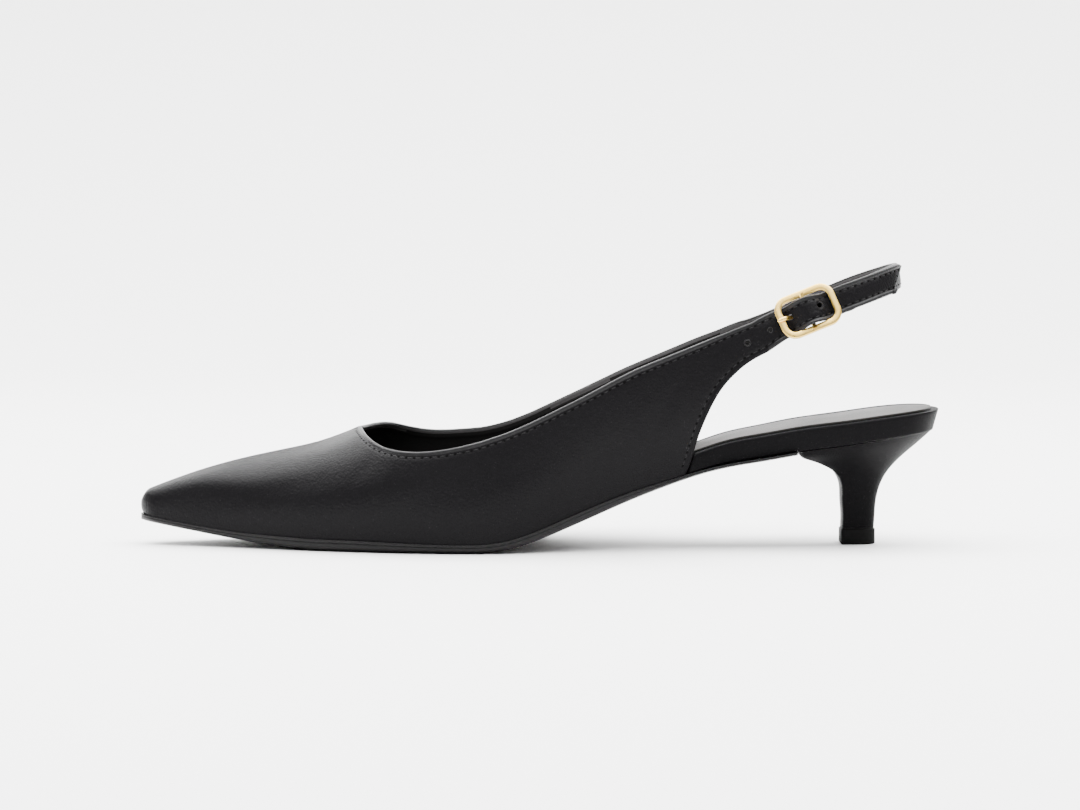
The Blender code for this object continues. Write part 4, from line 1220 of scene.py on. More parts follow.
def edge_profile(distance, inset):
    """How far a skin sinks near its edge: a groove for the stitches and a step before it."""
    groove = GROOVE_DEPTH * np.exp(-(((distance - inset) / GROOVE_WIDTH) ** 2))
    step = BEAD_DEPTH * np.exp(-(((distance - BEAD_PLACE * inset) / (BEAD_SPREAD * inset)) ** 2))
    return groove + step


def crease_depth(points, side):
    """How deep the creases, troughs or ridges, are at each point of a side."""
    total = np.zeros(points.shape[:-1])
    for which, x, z, slope, long, wide, deep in CREASES:
        if which != side:
            continue
        dx = points[..., 0] + HEEL_CENTRE - x
        dz = points[..., 2] - z
        turn = math.radians(slope)
        along = dx * math.cos(turn) + dz * math.sin(turn)
        over = -dx * math.sin(turn) + dz * math.cos(turn)
        total += deep * np.exp(-((along / long) ** 2) - (over / wide) ** 2)
    return total


print("creases placed by hand", len(CREASES))

# %% Where the strap's holes are
PRONG_HOLE = -0.0048
HOLE_PITCH = 0.0084
HOLES = (2, 1, -1)
PRESS_DEPTH, PRESS_RADIUS = 0.00022, 0.0013
RING_HEIGHT, RING_RADIUS, RING_WIDTH = 0.00014, 0.0017, 0.0004
ROOT_STEP = 0.002


def hole_place(number):
    """Middle of a hole in the strap and the way out through it."""
    behind = PRONG_HOLE - number * HOLE_PITCH
    point, out, _ = route.frame(min(route.bar - behind, route.length))
    if behind < -BAR_FROM_ROOT:
        along = (point - route.middle(route.length - ROOT_STEP)) / ROOT_STEP
        point = point + along * (-behind - BAR_FROM_ROOT)
    line = outer_strap_line()[0]
    over = float(np.interp(behind, line[:, 0], line[:, 1]))
    return Vector(point + out * over), Vector(out)


def hole_rims(points):
    """Leather that is pushed in by the punch, inside a slightly raised ring."""
    total = np.zeros(points.shape[:-1])
    for number in HOLES:
        place, _ = hole_place(number)
        away = np.linalg.norm(points - np.array(place), axis=-1)
        pressed = PRESS_DEPTH * np.exp(-((away / PRESS_RADIUS) ** 4))
        raised = RING_HEIGHT * np.exp(-(((away - RING_RADIUS) / RING_WIDTH) ** 2))
        total += pressed - raised
    return total


print("first hole", hole_place(HOLES[0])[0])

# %% The upper with both straps
BLEND_ROWS = 26
grids, joined_lines, offsets = {}, {}, 0
all_points, all_quads, all_walls, all_gaps, all_tops = [], [], [], [], []
for side in (-1, 1):
    grid, walls, joined, across, count = skin_of_side(side)
    distance = np.concatenate([edge_distance(grid, side, count), across[count:]])
    inset = np.full(len(grid), ROW_INSET)
    inset[count:] = STRAP_ROW_INSET
    ramp = np.clip((np.arange(len(grid)) - count + BLEND_ROWS) / BLEND_ROWS, 0, 1)
    inset[:count] = (ROW_INSET + (STRAP_ROW_INSET - ROW_INSET) * ramp)[:count]
    sink = edge_profile(distance, inset[:, None])
    sink[:count] += crease_depth(grid[:count], side)
    if side < 0:
        sink += hole_rims(grid)
    sink[:joined, -1] = 0
    rows = grid.shape[1]
    index = np.arange(len(grid) * rows).reshape(len(grid), rows) + offsets
    corners = [index[:-1, :-1], index[1:, :-1], index[1:, 1:], index[:-1, 1:]]
    quads = np.stack(corners, -1).reshape(-1, 4)
    if side > 0:
        quads = quads[:, ::-1]
    flat = grid.reshape(-1, 3)
    normals = vertex_normals(flat, quads - offsets)
    flat = flat - normals * sink.reshape(-1)[:, None]
    grids[side] = flat.reshape(grid.shape), normals.reshape(grid.shape), count, distance, inset
    joined_lines[side] = joined
    all_points.append(flat)
    all_quads.append(quads)
    all_walls.append(np.repeat(walls, rows))
    all_gaps.append(distance.reshape(-1))
    from_top = edge_distance(grid, side, count, with_rear=False)
    all_tops.append(np.concatenate([from_top, across[count:]]).reshape(-1))
    offsets += len(flat)

points = np.concatenate(all_points)
quads = np.concatenate(all_quads)
walls = np.concatenate(all_walls)
gaps = np.concatenate(all_gaps)
tops = np.concatenate(all_tops)
ridge = {}
for side, start in ((-1, 0), (1, len(all_points[0]))):
    rows = grids[side][0].shape[1]
    joined = joined_lines[side]
    along_ridge = [start + k * rows + rows - 1 for k in range(joined)]
    ridge[side] = along_ridge + [start + k for k in range(rows)]
merge = np.arange(len(points))
for a, b in zip(ridge[-1], ridge[1]):
    merge[b] = a
    points[a] = (points[a] + points[b]) / 2 * (1, 0, 1)
quads = merge[quads]
used, quads = np.unique(quads, return_inverse=True)
points, walls, gaps, tops = points[used], walls[used], gaps[used], tops[used]
quads = quads.reshape(-1, 4)
lines = LINING_DEPTH * np.exp(-(((gaps - LINING_LINE) / LINING_SPREAD) ** 2))
# The rim look paints the edges' highlight, the inner rim look paints light inside the topline, and the pit
# look paints shade in holes.
leather_names = ("calf_leather", "lining_leather", "rim_leather_painted_highlight", "inner_rim_painted_light")
looks = [leathers[name] for name in leather_names]
looks.insert(PIT_SHADE, pit_shade)
upper = rolled_shell("upper_leather", points, quads, walls, looks, lines, tops)
print("faces of the upper", len(upper.data.polygons))

# %% [markdown]
# ## Holes in the strap
#
# The strap has a row of round holes for the prong. A dark dot in a material would do from afar. These
# are real holes, cut with round punches that follow the strap, so that the edge of each one catches the
# light. The Boolean modifier is applied at once, and only its mesh is kept.

# %% The buckle's own frame
BUCKLE_SHIFT = -0.0003


def buckle_frame_matrix():
    """The buckle's own frame: origin on its bar, X towards the tail, Y across the strap, Z outwards."""
    reach = 0.4 * BUCKLE_LENGTH
    _, out, up = route.frame(route.bar)
    along = route.place(reach, 0, 0) - route.place(-reach, 0, 0)
    y_axis = Vector(up).normalized()
    x_axis = Vector(along)
    x_axis = (x_axis - x_axis.dot(y_axis) * y_axis).normalized()
    z_axis = x_axis.cross(y_axis)
    if z_axis.dot(Vector(out)) < 0:
        z_axis = -z_axis
    made = Matrix((x_axis, y_axis, z_axis)).transposed().to_4x4()
    made.translation = Vector(route.place(0, BAR_LIFT, BUCKLE_SHIFT))
    return made


print("buckle's bar at", buckle_frame_matrix().translation)

# %% Punches and cutters
HOLE_WIDTH = 0.0018
PUNCH_DEPTH = 0.0036
ROUND_POINTS = 28


def cut(target, cutter):
    """Takes the cutter's shape out of the target, and the cutter out of the scene."""
    modifier = target.modifiers.new("Cut", "BOOLEAN")
    modifier.object = cutter
    modifier.solver = "MANIFOLD"
    graph = bpy.context.evaluated_depsgraph_get()
    evaluated = target.evaluated_get(graph)
    done = bpy.data.meshes.new_from_object(evaluated, preserve_all_data_layers=True, depsgraph=graph)
    old = target.data
    target.modifiers.clear()
    target.data = done
    bpy.data.meshes.remove(old)
    bpy.data.objects.remove(cutter)


def hole_turn(number):
    """A hole's middle, and the turn that points Z out through it."""
    place, out = hole_place(number)
    return place, out.to_track_quat("Z", "Y").to_matrix()


def punch(number):
    """A round cutter on a hole."""
    place, turn = hole_turn(number)
    turn = turn.to_4x4()
    turn.translation = place
    size = {"radius1": HOLE_WIDTH / 2, "radius2": HOLE_WIDTH / 2, "depth": PUNCH_DEPTH}
    bm = bmesh.new()
    bmesh.ops.create_cone(bm, cap_ends=True, segments=ROUND_POINTS, **size)
    bmesh.ops.transform(bm, matrix=turn, verts=bm.verts)
    return from_bmesh("punch", bm)


def slot_cutter(along, width, out):
    """A square cutter in the buckle's frame: its reach along the strap, its width, its reach outwards."""
    bm = bmesh.new()
    bmesh.ops.create_cube(bm, size=1)
    size = Matrix.Diagonal((along[1] - along[0], width, out[1] - out[0], 1))
    centre = Matrix.Translation(((along[0] + along[1]) / 2, -BUCKLE_SHIFT, (out[0] + out[1]) / 2))
    bmesh.ops.transform(bm, matrix=buckle_frame_matrix() @ centre @ size, verts=bm.verts)
    bmesh.ops.recalc_face_normals(bm, faces=bm.faces)
    return from_bmesh("slot", bm)


print("a punch is", HOLE_WIDTH, "wide")

# %% The holes' walls and pressed rings
WALL_REACH = 0.53 * HOLE_WIDTH
WALL_DEPTH = 0.0018
WALL_TILT = 0.5
RING_SINK = 0.00016
RING_GAP = 0.00012
RING_ACROSS = 0.00020
RING_THICK = 0.00012
RING_POINTS = 10


def paint_hole_shade(number):
    """Paints shade on the walls of a punched hole: they take the near-black pit material."""
    place, out = hole_place(number)
    centres = np.empty(3 * len(upper.data.polygons))
    normals = np.empty_like(centres)
    upper.data.polygons.foreach_get("center", centres)
    upper.data.polygons.foreach_get("normal", normals)
    centres, normals = centres.reshape(-1, 3) - np.array(place), normals.reshape(-1, 3)
    axis = np.array(out)
    high = centres @ axis
    far = np.linalg.norm(centres - high[:, None] * axis, axis=1)
    raw = (far < WALL_REACH) & (np.abs(high) < WALL_DEPTH) & (np.abs(normals @ axis) < WALL_TILT)
    for index in np.nonzero(raw)[0]:
        upper.data.polygons[int(index)].material_index = PIT_SHADE


def hole_edge(number):
    """The soft raised ring of pressed leather round a hole; its lighter rim colour is a painted highlight.
    """
    place, turn = hole_turn(number)
    line = outer_strap_line()
    behind = PRONG_HOLE - number * HOLE_PITCH
    lift = float(np.interp(behind, line[0][:, 0], line[1])) / 2 - RING_SINK
    rings = []
    for angle in full_turn(ROUND_POINTS):
        ring = []
        for round_angle in full_turn(RING_POINTS):
            radius = HOLE_WIDTH / 2 + RING_GAP + RING_ACROSS * math.cos(round_angle)
            height = lift + RING_THICK * math.sin(round_angle)
            spot = Vector((radius * math.cos(angle), radius * math.sin(angle), height))
            ring.append(place + turn @ spot)
        rings.append(ring)
    name = f"hole_edge_{2 - number}"
    made = loft_rings(name, rings, [leathers["rim_leather_painted_highlight"]], closed=True, crease=80)
    return finish_piece(made, "leather")


for number in HOLES:
    cut(upper, punch(number))
    paint_hole_shade(number)
    hole_edge(number)

# %% The slots for the prong
PRONG_WIDTH = 0.0014
PRONG_SLOT = (-0.0070, -0.0052)
PRONG_SLOT_DEPTH = (-0.0030, 0.0012)
SLING_SLOT = (-0.0030, 0.0026)
SLING_SLOT_DEPTH = (-0.0034, 0.0019)

cut(upper, slot_cutter(PRONG_SLOT, PRONG_WIDTH + 2 * WRAP_GAP, PRONG_SLOT_DEPTH))
cut(upper, slot_cutter(SLING_SLOT, PRONG_WIDTH + 4 * WRAP_GAP, SLING_SLOT_DEPTH))
upper.data.shade_smooth()
upper.data.set_sharp_from_angle(angle=math.radians(50))
finish_piece(upper, "leather", "upper", "buckle_strap", "sling_strap")

# %% [markdown]
# ## Stitches
#
# A row of lockstitch lies in its groove a little inside each edge: short rounded threads, with a flat
# near-black body between each two that paints the shade of the needle hole. The rows are read off the
# skin where it is the row's distance from its edge.
# One small node group sets a rounded body on each place, turned along its row, which is easier to keep
# even than a drawn pattern.

# %% A node group that repeats a small body
INPUTS = (
    ("Places", "Geometry"),
    ("Length", "Float"),
    ("Width", "Float"),
    ("Height", "Float"),
    ("Look", "Material"),
)
BODY_SEGMENTS = 10
BODY_RINGS = 7
SMALLEST = (0.94, 0.9, 0.88)
LARGEST = (1.04, 1.1, 1.12)
SEED = 7


def repeat_tree():
    """One rounded body on each point, turned by the point's attributes "along" and "out"."""
    tree = bpy.data.node_groups.new("repeat_on_places", "GeometryNodeTree")
    sockets = {}
    for name, kind in INPUTS:
        made = tree.interface.new_socket(name, in_out="INPUT", socket_type=f"NodeSocket{kind}")
        sockets[name] = made.identifier
    tree.interface.new_socket("Pieces", in_out="OUTPUT", socket_type="NodeSocketGeometry")
    nodes, links = tree.nodes, tree.links
    start, end = nodes.new("NodeGroupInput"), nodes.new("NodeGroupOutput")
    named = {}
    for name in ("along", "out"):
        named[name] = nodes.new("GeometryNodeInputNamedAttribute")
        named[name].data_type = "FLOAT_VECTOR"
        named[name].inputs["Name"].default_value = name
    turn = nodes.new("FunctionNodeAxesToRotation")
    turn.primary_axis = "X"
    turn.secondary_axis = "Z"
    links.new(named["along"].outputs["Attribute"], turn.inputs["Primary Axis"])
    links.new(named["out"].outputs["Attribute"], turn.inputs["Secondary Axis"])
    size = nodes.new("ShaderNodeCombineXYZ")
    for socket, name in zip("XYZ", ("Length", "Width", "Height")):
        links.new(start.outputs[name], size.inputs[socket])
    vary = nodes.new("FunctionNodeRandomValue")
    vary.data_type = "FLOAT_VECTOR"
    vary.inputs["Min"].default_value = SMALLEST
    vary.inputs["Max"].default_value = LARGEST
    vary.inputs["Seed"].default_value = SEED
    scale = nodes.new("ShaderNodeVectorMath")
    scale.operation = "MULTIPLY"
    links.new(size.outputs["Vector"], scale.inputs[0])
    links.new(vary.outputs["Value"], scale.inputs[1])
    body = nodes.new("GeometryNodeMeshUVSphere")
    body.inputs["Segments"].default_value = BODY_SEGMENTS
    body.inputs["Rings"].default_value = BODY_RINGS
    body.inputs["Radius"].default_value = 0.5
    copies = nodes.new("GeometryNodeInstanceOnPoints")
    links.new(start.outputs["Places"], copies.inputs["Points"])
    links.new(body.outputs["Mesh"], copies.inputs["Instance"])
    links.new(turn.outputs["Rotation"], copies.inputs["Rotation"])
    links.new(scale.outputs["Vector"], copies.inputs["Scale"])
    real = nodes.new("GeometryNodeRealizeInstances")
    look = nodes.new("GeometryNodeSetMaterial")
    links.new(copies.outputs["Instances"], real.inputs["Geometry"])
    links.new(real.outputs["Geometry"], look.inputs["Geometry"])
    links.new(start.outputs["Look"], look.inputs["Material"])
    links.new(look.outputs["Geometry"], end.inputs["Pieces"])
    return tree, sockets


tree, sockets = repeat_tree()
print("inputs of the node group", list(sockets))

# %% Running the node group
def repeat(name, places, along, out, size, look):
    """The repeated body as one plain mesh."""
    mesh = bpy.data.meshes.new(name + "_places")
    mesh.from_pydata([tuple(map(float, place)) for place in places], [], [])
    for key, values in (("along", along), ("out", out)):
        layer = mesh.attributes.new(key, "FLOAT_VECTOR", "POINT")
        layer.data.foreach_set("vector", np.asarray(values, np.float32).reshape(-1))
    source = linked(name + "_places", mesh)
    modifier = source.modifiers.new("Repeat", "NODES")
    modifier.node_group = tree
    for key, amount in zip(("Length", "Width", "Height"), size):
        modifier[sockets[key]] = float(amount)
    modifier[sockets["Look"]] = look
    source.update_tag()
    graph = bpy.context.evaluated_depsgraph_get()
    done = bpy.data.meshes.new_from_object(source.evaluated_get(graph), depsgraph=graph)
    bpy.data.objects.remove(source)
    bpy.data.meshes.remove(mesh)
    for key in [a.name for a in done.attributes if a.name in ("along", "out")]:
        done.attributes.remove(done.attributes[key])
    done.name = name
    done.shade_smooth()
    return finish_piece(linked(name, done), "leather")


print("ready to repeat", tree.name)

# %% Where the rows run
AHEAD = 0.0004


def row_from_edge(side, first, last, from_top):
    """Places and normals along the skin at the row's distance from its upper or lower edge."""
    grid, normals, _, distance, inset = grids[side]
    line = []
    for k in range(first, last):
        order = slice(None, None, -1) if from_top else slice(None)
        gaps, spots, outs = distance[k][order], grid[k][order], normals[k][order]
        want = inset[k]
        over = np.nonzero(gaps >= want)[0]
        if len(over) == 0 or over[0] == 0:
            continue
        i = over[0]
        share = (want - gaps[i - 1]) / (gaps[i] - gaps[i - 1])
        spot = spots[i - 1] + share * (spots[i] - spots[i - 1])
        line.append((spot, outs[i - 1] + share * (outs[i] - outs[i - 1])))
    return np.array([spot for spot, out in line]), np.array([out for spot, out in line])


def spaced(line, outs, pitch):
    """Middles of the stitches and the holes between them, evenly spaced along a line."""
    reach = lengths_along(line)
    number = max(1, round(reach[-1] / pitch))

    def at(values, places):
        return np.column_stack([np.interp(places, reach, values[:, i]) for i in range(3)])

    middles = (np.arange(number) + 0.5) * reach[-1] / number
    holes = np.arange(number + 1) * reach[-1] / number
    sets = []
    for places in (middles, holes):
        ahead = at(line, places + AHEAD) - at(line, places - AHEAD)
        ahead /= np.maximum(np.linalg.norm(ahead, axis=1), 1e-9)[:, None]
        out = at(outs, places)
        out /= np.linalg.norm(out, axis=1)[:, None]
        sets.append((at(line, places), ahead, out))
    return sets


print("skins with rows", len(grids))

# %% The stitches and the painted shade of their needle holes
STITCH_PITCH = 0.0027
STITCH_SIZE = (0.0017, 0.00036, 0.00028)
STITCH_SINK = 0.00004
# The needle holes are flat near-black bodies on the skin: painted shade in the holes.
HOLE_SHADE_SIZE = (0.00092, 0.00084, 0.00022)
HOLE_SHADE_LIFT = 0.00001
STITCHED_SHARE = 0.93
FOLDED_ROWS = 110
ROW_SLACK = 0.98

threads, holes = [], []
for side in (-1, 1):
    grid, normals, count, distance, inset = grids[side]
    corner = count - REAR_LINES
    plain = np.nonzero(distance.max(axis=1) >= inset)[0][-1] + 1
    if side > 0:
        strap_rows = STITCHED_SHARE * (len(grid) - count)
        plain = count + int(strap_rows * SLING_ROWS / (SLING_ROWS + FOLDED_ROWS))
    rows = [row_from_edge(side, 0, plain, True), row_from_edge(side, corner, plain, False)]
    if side < 0:
        inside = distance[plain - 1] >= ROW_SLACK * inset[plain - 1]
        rows.append((grid[plain - 1][inside], normals[plain - 1][inside]))
    for line, outs in rows:
        (middles, ahead, out), (spots, spot_ahead, spot_out) = spaced(line, outs, STITCH_PITCH)
        threads.append((middles - out * STITCH_SINK, ahead, out))
        holes.append((spots + spot_out * HOLE_SHADE_LIFT, spot_ahead, spot_out))
# The second set is painted shade: near-black bodies that stand for the needle holes' dark.
for name, sets, size, look in (
    ("stitches", threads, STITCH_SIZE, leathers["waxed_thread"]),
    ("needle_hole_shades", holes, HOLE_SHADE_SIZE, pit_shade),
):
    joined_up = [np.concatenate([row[i] for row in sets]) for i in range(3)]
    repeat(name, *joined_up, size, look)

# %% [markdown]
# ## Outsole
#
# The sole is a thin sheet of leather whose edge is trimmed, dyed and burnished. A flat sheet with a
# Bevel modifier would lose the fine bead along its upper edge. Rings across the shoe, one every
# millimetre or two, carry the whole profile, and the same method serves the insole and the sock.

# %% Places along the shoe
FRONT_PLACES, FRONT_ANGLE = 8, 0.06
BACK_PLACES, BACK_ANGLE = 10, 0.10
ROUND_STEPS = 7


def stations_between(start, end, step, tip_round=0.0, end_round=0.0):
    """Even stations, drawn together where the plan is rounded at either end."""
    count = max(2, round((end - start) / step))
    middle = np.linspace(start + tip_round, end - end_round, count)
    front, back = [], []
    if tip_round:
        angles = np.linspace(FRONT_ANGLE, math.pi / 2, FRONT_PLACES)
        front = start + tip_round * (1 - np.cos(angles))
    if end_round:
        angles = np.linspace(0, math.pi / 2 - BACK_ANGLE, BACK_PLACES)
        back = end - end_round * (1 - np.sin(angles))
    return np.concatenate([front[:-1], middle, back[1:]])


print("places along 0.1 m", len(stations_between(0, 0.1, 0.002)))

# %% The outsole
SOLE_END = 0.8181 * LENGTH
SOLE_STEP = 0.0016
SEAT_GAP = 0.0003
EDGE_WIDTH = 0.0048
EDGE_RISE = 0.0018
SOLE_BEAD = 0.00045
TREAD_NORMAL = -0.93
TOP_INSET = 0.0012
EDGE_RISE_SHARE = 0.55
EDGE_WIDTH_SHARE = 0.4
SOLE_BEAD_SHARE = 0.12
BEAD_ANGLES = math.radians(100), math.radians(-60)
BEAD_CENTRE = 0.35
BEAD_REACH = 0.6
BEVEL_POINTS = 8
BEVEL_POWER = 1.25


def outsole_profile(width, low, high):
    """Points from the top of the sole's edge round to its tread: a fine bead, the dyed edge, a bevel."""
    deep = high - low
    rise = min(EDGE_RISE, EDGE_RISE_SHARE * deep)
    under = min(EDGE_WIDTH, EDGE_WIDTH_SHARE * width)
    bead = min(SOLE_BEAD, SOLE_BEAD_SHARE * deep)
    points = [(width - TOP_INSET, high)]
    for angle in np.linspace(*BEAD_ANGLES, ROUND_STEPS):
        reach = width + bead * (BEAD_CENTRE + math.cos(angle)) * BEAD_REACH
        points.append((reach, high - bead + bead * math.sin(angle)))
    points += [(width - 0.0001, high - 2.1 * bead), (width, high - 2.9 * bead), (width, low + rise)]
    for t in even_shares(BEVEL_POINTS):
        points.append((width - under * t**BEVEL_POWER, low + rise * (1 - t) ** 2))
    return points


def build_outsole():
    rings = []
    for x in stations_between(0.0, SOLE_END, SOLE_STEP, tip_round=TOE_ROUND):
        low, high = float(sole_bottom(x)), float(seat_line(x)) - SEAT_GAP / 2
        right = outsole_profile(float(half_width(x, -1)), low, high)
        left = outsole_profile(float(half_width(x, 1)), low, high)
        ring = [(-y, z) for y, z in right] + [(y, z) for y, z in left[::-1]]
        rings.append([(x - HEEL_CENTRE, y, z) for y, z in ring])
    looks = [leathers["edge_dye"], leathers["sole_leather_skin"]]
    made = loft_rings("outsole_edge", rings, looks, crease=46)
    for face in made.data.polygons:
        if face.normal.z < TREAD_NORMAL:
            face.material_index = 1
    return finish_piece(made, "sole_leather", "outsole")


build_outsole()

# %% [markdown]
# ## Insole
#
# The insole board carries the foot: thin inside the forepart, and built up to a wrapped platform at the
# waist and the seat, where it shows under the quarters' ends. A shrunken copy of the sole would have
# upright sides. Rings that lean with the platform keep its soft upper edge and the small roll where it
# meets the sole.

# %% The insole
PLATFORM = 0.0070
PLATFORM_START = 0.6838 * LENGTH
PLATFORM_LEAN = 0.0024
PLATFORM_FADE = 0.012
STEP_HALF = 0.0002
BOARD_TAPER = 0.0018
BOARD_STEPS = 0.003, 0.002
FIT_GAP = 0.0003
WRAP_FOLD = 0.0011
WRAP_FOLD_SHARE = 0.3
PLATFORM_HALF = 0.72 * HALF_BALL
SIDE_HOLLOW = 0.00005
FOOT_ROLL = (
    # in from the side, up from the sole
    (0.0008, 0.0),
    (0.00015, 0.0002),
    (0.0, 0.0007),
)

# The insole's thickness as a share of PLATFORM
BOARD = (
    # at, thick
    (0.000, 0.22),
    (0.380, 0.26),
    (0.480, 0.38),
    (0.570, 0.62),
    (0.650, 0.90),
    (0.720, 1.00),
    (0.900, 1.02),
    (0.960, 0.97),
    (1.000, 0.90),
)

(board_share,) = columns(BOARD)


def board_top(x):
    """The height of the insole's top."""
    return seat_line(x) + PLATFORM * board_share(x / LENGTH)


def insole_inset(x):
    """Inside the upper's wall as far as the quarters reach, and out to the sole's edge behind them."""
    return WALL + FIT_GAP if x < PLATFORM_START else 0.0


def platform_lean(x):
    """How far the insole's top lies behind its foot where the quarters end on it."""
    return PLATFORM_LEAN * math.exp(-(((x - PLATFORM_START) / PLATFORM_FADE) ** 2))


def board_foot(x):
    """Where the insole's underside lies for a place on its top, and how much narrower it is there."""
    behind = np.clip((x - PLATFORM_START - STEP_HALF) / PLATFORM_FADE, 0, 1)
    back = np.clip((x - LENGTH + SEAT_ROUND) / SEAT_ROUND, 0, 1)
    return float(x - BOARD_TAPER * back**2), float(1 - behind * BOARD_TAPER / PLATFORM_HALF)


def wrapped_profile(width, low, high):
    """The wrapped board's side, with a soft upper edge and a small roll where it meets the sole."""
    fold = min(WRAP_FOLD, WRAP_FOLD_SHARE * width)
    points = [(width - back, low + up) for back, up in FOOT_ROLL]
    points.append((width - SIDE_HOLLOW, (low + high) / 2))
    for angle in np.linspace(0, math.pi / 2, ROUND_STEPS):
        points.append((width - fold + fold * math.cos(angle), high - fold + fold * math.sin(angle)))
    return points


def build_insole():
    toe = WALL + FIT_GAP
    end = PLATFORM_START - STEP_HALF
    front = stations_between(toe, end, BOARD_STEPS[0], tip_round=TOE_ROUND - toe)
    start = PLATFORM_START + STEP_HALF
    back = stations_between(start, LENGTH, BOARD_STEPS[1], end_round=SEAT_ROUND)
    rings = []
    for x in np.concatenate([front, back]):
        high, lean = float(board_top(x)), platform_lean(x)
        foot, narrow = board_foot(x)
        low = float(seat_line(foot))
        ring = []
        for side in (-1, 1):
            width = float(half_width(x, side, insole_inset(x)))
            points = []
            for y, z in wrapped_profile(width, low, high):
                rise = float(np.clip((z - low) / (high - low), 0, 1))
                wide = y * (narrow + (1 - narrow) * rise)
                points.append((foot + (x + lean - foot) * rise, side * wide, z))
            ring += points if side > 0 else points[::-1]
        rings.append([(px - HEEL_CENTRE, y, z) for px, y, z in ring])
    made = loft_rings("insole_wrap", rings, [leathers["cover_leather"]])
    return finish_piece(made, "leather", "insole")


build_insole()

# %% [markdown]
# ## Sock
#
# The sock is the smooth sheet that the foot lies on, with a raised piped edge. A plane with a Solidify
# modifier would be flat. Each ring here rises in a low crown, and its two ends turn over in a small
# half round.

# %% The sock
SOCK_START = 0.0756 * LENGTH
SOCK_INSET = 0.0026
SOCK_STEP = 0.002
SOCK_BODY = 0.0005
SOCK_CROWN = 0.0005
PIPING_WIDTH = 0.0011
PIPING_HEIGHT = 0.00035
PIPED_COLUMNS = 8
CROWN_COLUMNS = 20
CROWN_POWER = 0.8


def sock_profile(left, right, low):
    """Across the sock: underside, piped edge, crown, and the other edge."""
    edge = min(PIPING_WIDTH, 0.25 * min(left, right) + 1e-5)
    body = low + SOCK_BODY

    def piping(middle, angles):
        for angle in angles:
            profile.append((middle + edge / 2 * math.cos(angle), body + PIPING_HEIGHT * math.sin(angle)))

    profile = [(-left, low), (-left, body)]
    piping(-left + edge / 2, np.linspace(math.pi, 0, ROUND_STEPS)[1:])
    for y in np.linspace(-left + edge, right - edge, CROWN_COLUMNS + 2)[1:-1]:
        share = (y + left) / (left + right)
        profile.append((y, body + SOCK_CROWN * math.sin(math.pi * share) ** CROWN_POWER))
    piping(right - edge / 2, np.linspace(math.pi, 0, ROUND_STEPS)[:-1])
    return profile + [(right, body), (right, low)]


def build_sock():
    end = LENGTH - SOCK_INSET
    rings = []
    for x in stations_between(SOCK_START, end, SOCK_STEP, end_round=SEAT_ROUND - SOCK_INSET):
        low = float(board_top(x)) + FIT_GAP / 3
        lean = platform_lean(x)
        inset = SOCK_INSET if x > PLATFORM_START else WALL + 2 * FIT_GAP
        profile = sock_profile(float(half_width(x, -1, inset)), float(half_width(x, 1, inset)), low)
        rings.append([(x + lean - HEEL_CENTRE, y, z) for y, z in profile])
    looks = [leathers["sock_leather_skin"], leathers["piping_leather"]]
    made = loft_rings("sock_lining", rings, looks, crease=50)
    count = len(rings[0])
    for face in made.data.polygons:
        columns_used = [v % count for v in face.vertices]
        if max(columns_used) <= PIPED_COLUMNS or min(columns_used) >= count - PIPED_COLUMNS - 1:
            face.material_index = 1
    return finish_piece(made, "sock_leather", "sock")


build_sock()

# %% [markdown]
# ## Heel
#
# The heel is a turned block covered with thin leather, concave from the seat to the neck. It could be a
# lathed shape, but its front is flat and its back leans. Each row of a table is one level of the heel,
# with a straight front and a round back, and smooth curves through the rows give all the levels between
# them.

# %% The heel's sizes
HEEL_START = 0.8208 * LENGTH
SEAT_SHIFT = 0.0008
HEEL_STRAIGHT = 0.42
HEEL_BACK_POWER = 2.2
HEEL_EDGE = 0.93
HEEL_BACK = 0.993
HEEL_TOP = 0.617
NECK_LENGTH = 0.0108
NECK_WIDTH = 0.0109
TIP_HEIGHT = 0.0056
HEEL_LEVELS = 64
HEEL_POINTS = 30
HEEL_EDGE_SHARE = 0.02
HEEL_FLANK = 0.24

# The heel below its seat: height as a share of HEEL_RISE above the tip, front and back as shares of
# LENGTH, half width as a share of HALF_BALL
HEEL = (
    # front height, back height, front, back, half
    (0.650, 0.800, 0.8245, 0.9815, 0.545),
    (0.608, 0.690, 0.8390, 0.9637, 0.439),
    (0.558, 0.602, 0.8556, 0.9501, 0.351),
    (0.494, 0.505, 0.8692, 0.9380, 0.266),
    (0.415, 0.415, 0.8763, 0.9304, 0.213),
    (0.330, 0.330, 0.8787, 0.9259, 0.184),
    (0.223, 0.223, 0.8790, 0.9228, 0.168),
    (0.117, 0.117, 0.8801, 0.9217, 0.154),
)

print("levels given by hand", len(HEEL))

# %% The heel
def heel_ring(front, back, half, low, high):
    """A ring with a straight front and a round back, low in front and high behind."""
    angles = np.linspace(0, math.pi / 2, HEEL_POINTS - 4)
    flank = np.linspace(HEEL_FLANK * HEEL_STRAIGHT, HEEL_STRAIGHT, 3)[:-1]
    round_back = HEEL_STRAIGHT + (1 - HEEL_STRAIGHT) * np.sin(angles)
    shares = [0.0, HEEL_EDGE_SHARE, *flank, *round_back]
    ring = []
    for share in shares:
        over = max(0.0, (share - HEEL_STRAIGHT) / (1 - HEEL_STRAIGHT))
        width = half * (1 - over**HEEL_BACK_POWER) ** (1 / HEEL_BACK_POWER)
        if share == 0.0:
            width = HEEL_EDGE * half
        ring.append((front + share * (back - front), -width, low + share * (high - low)))
    return ring + [(x, -y, z) for x, y, z in ring[-2::-1]]


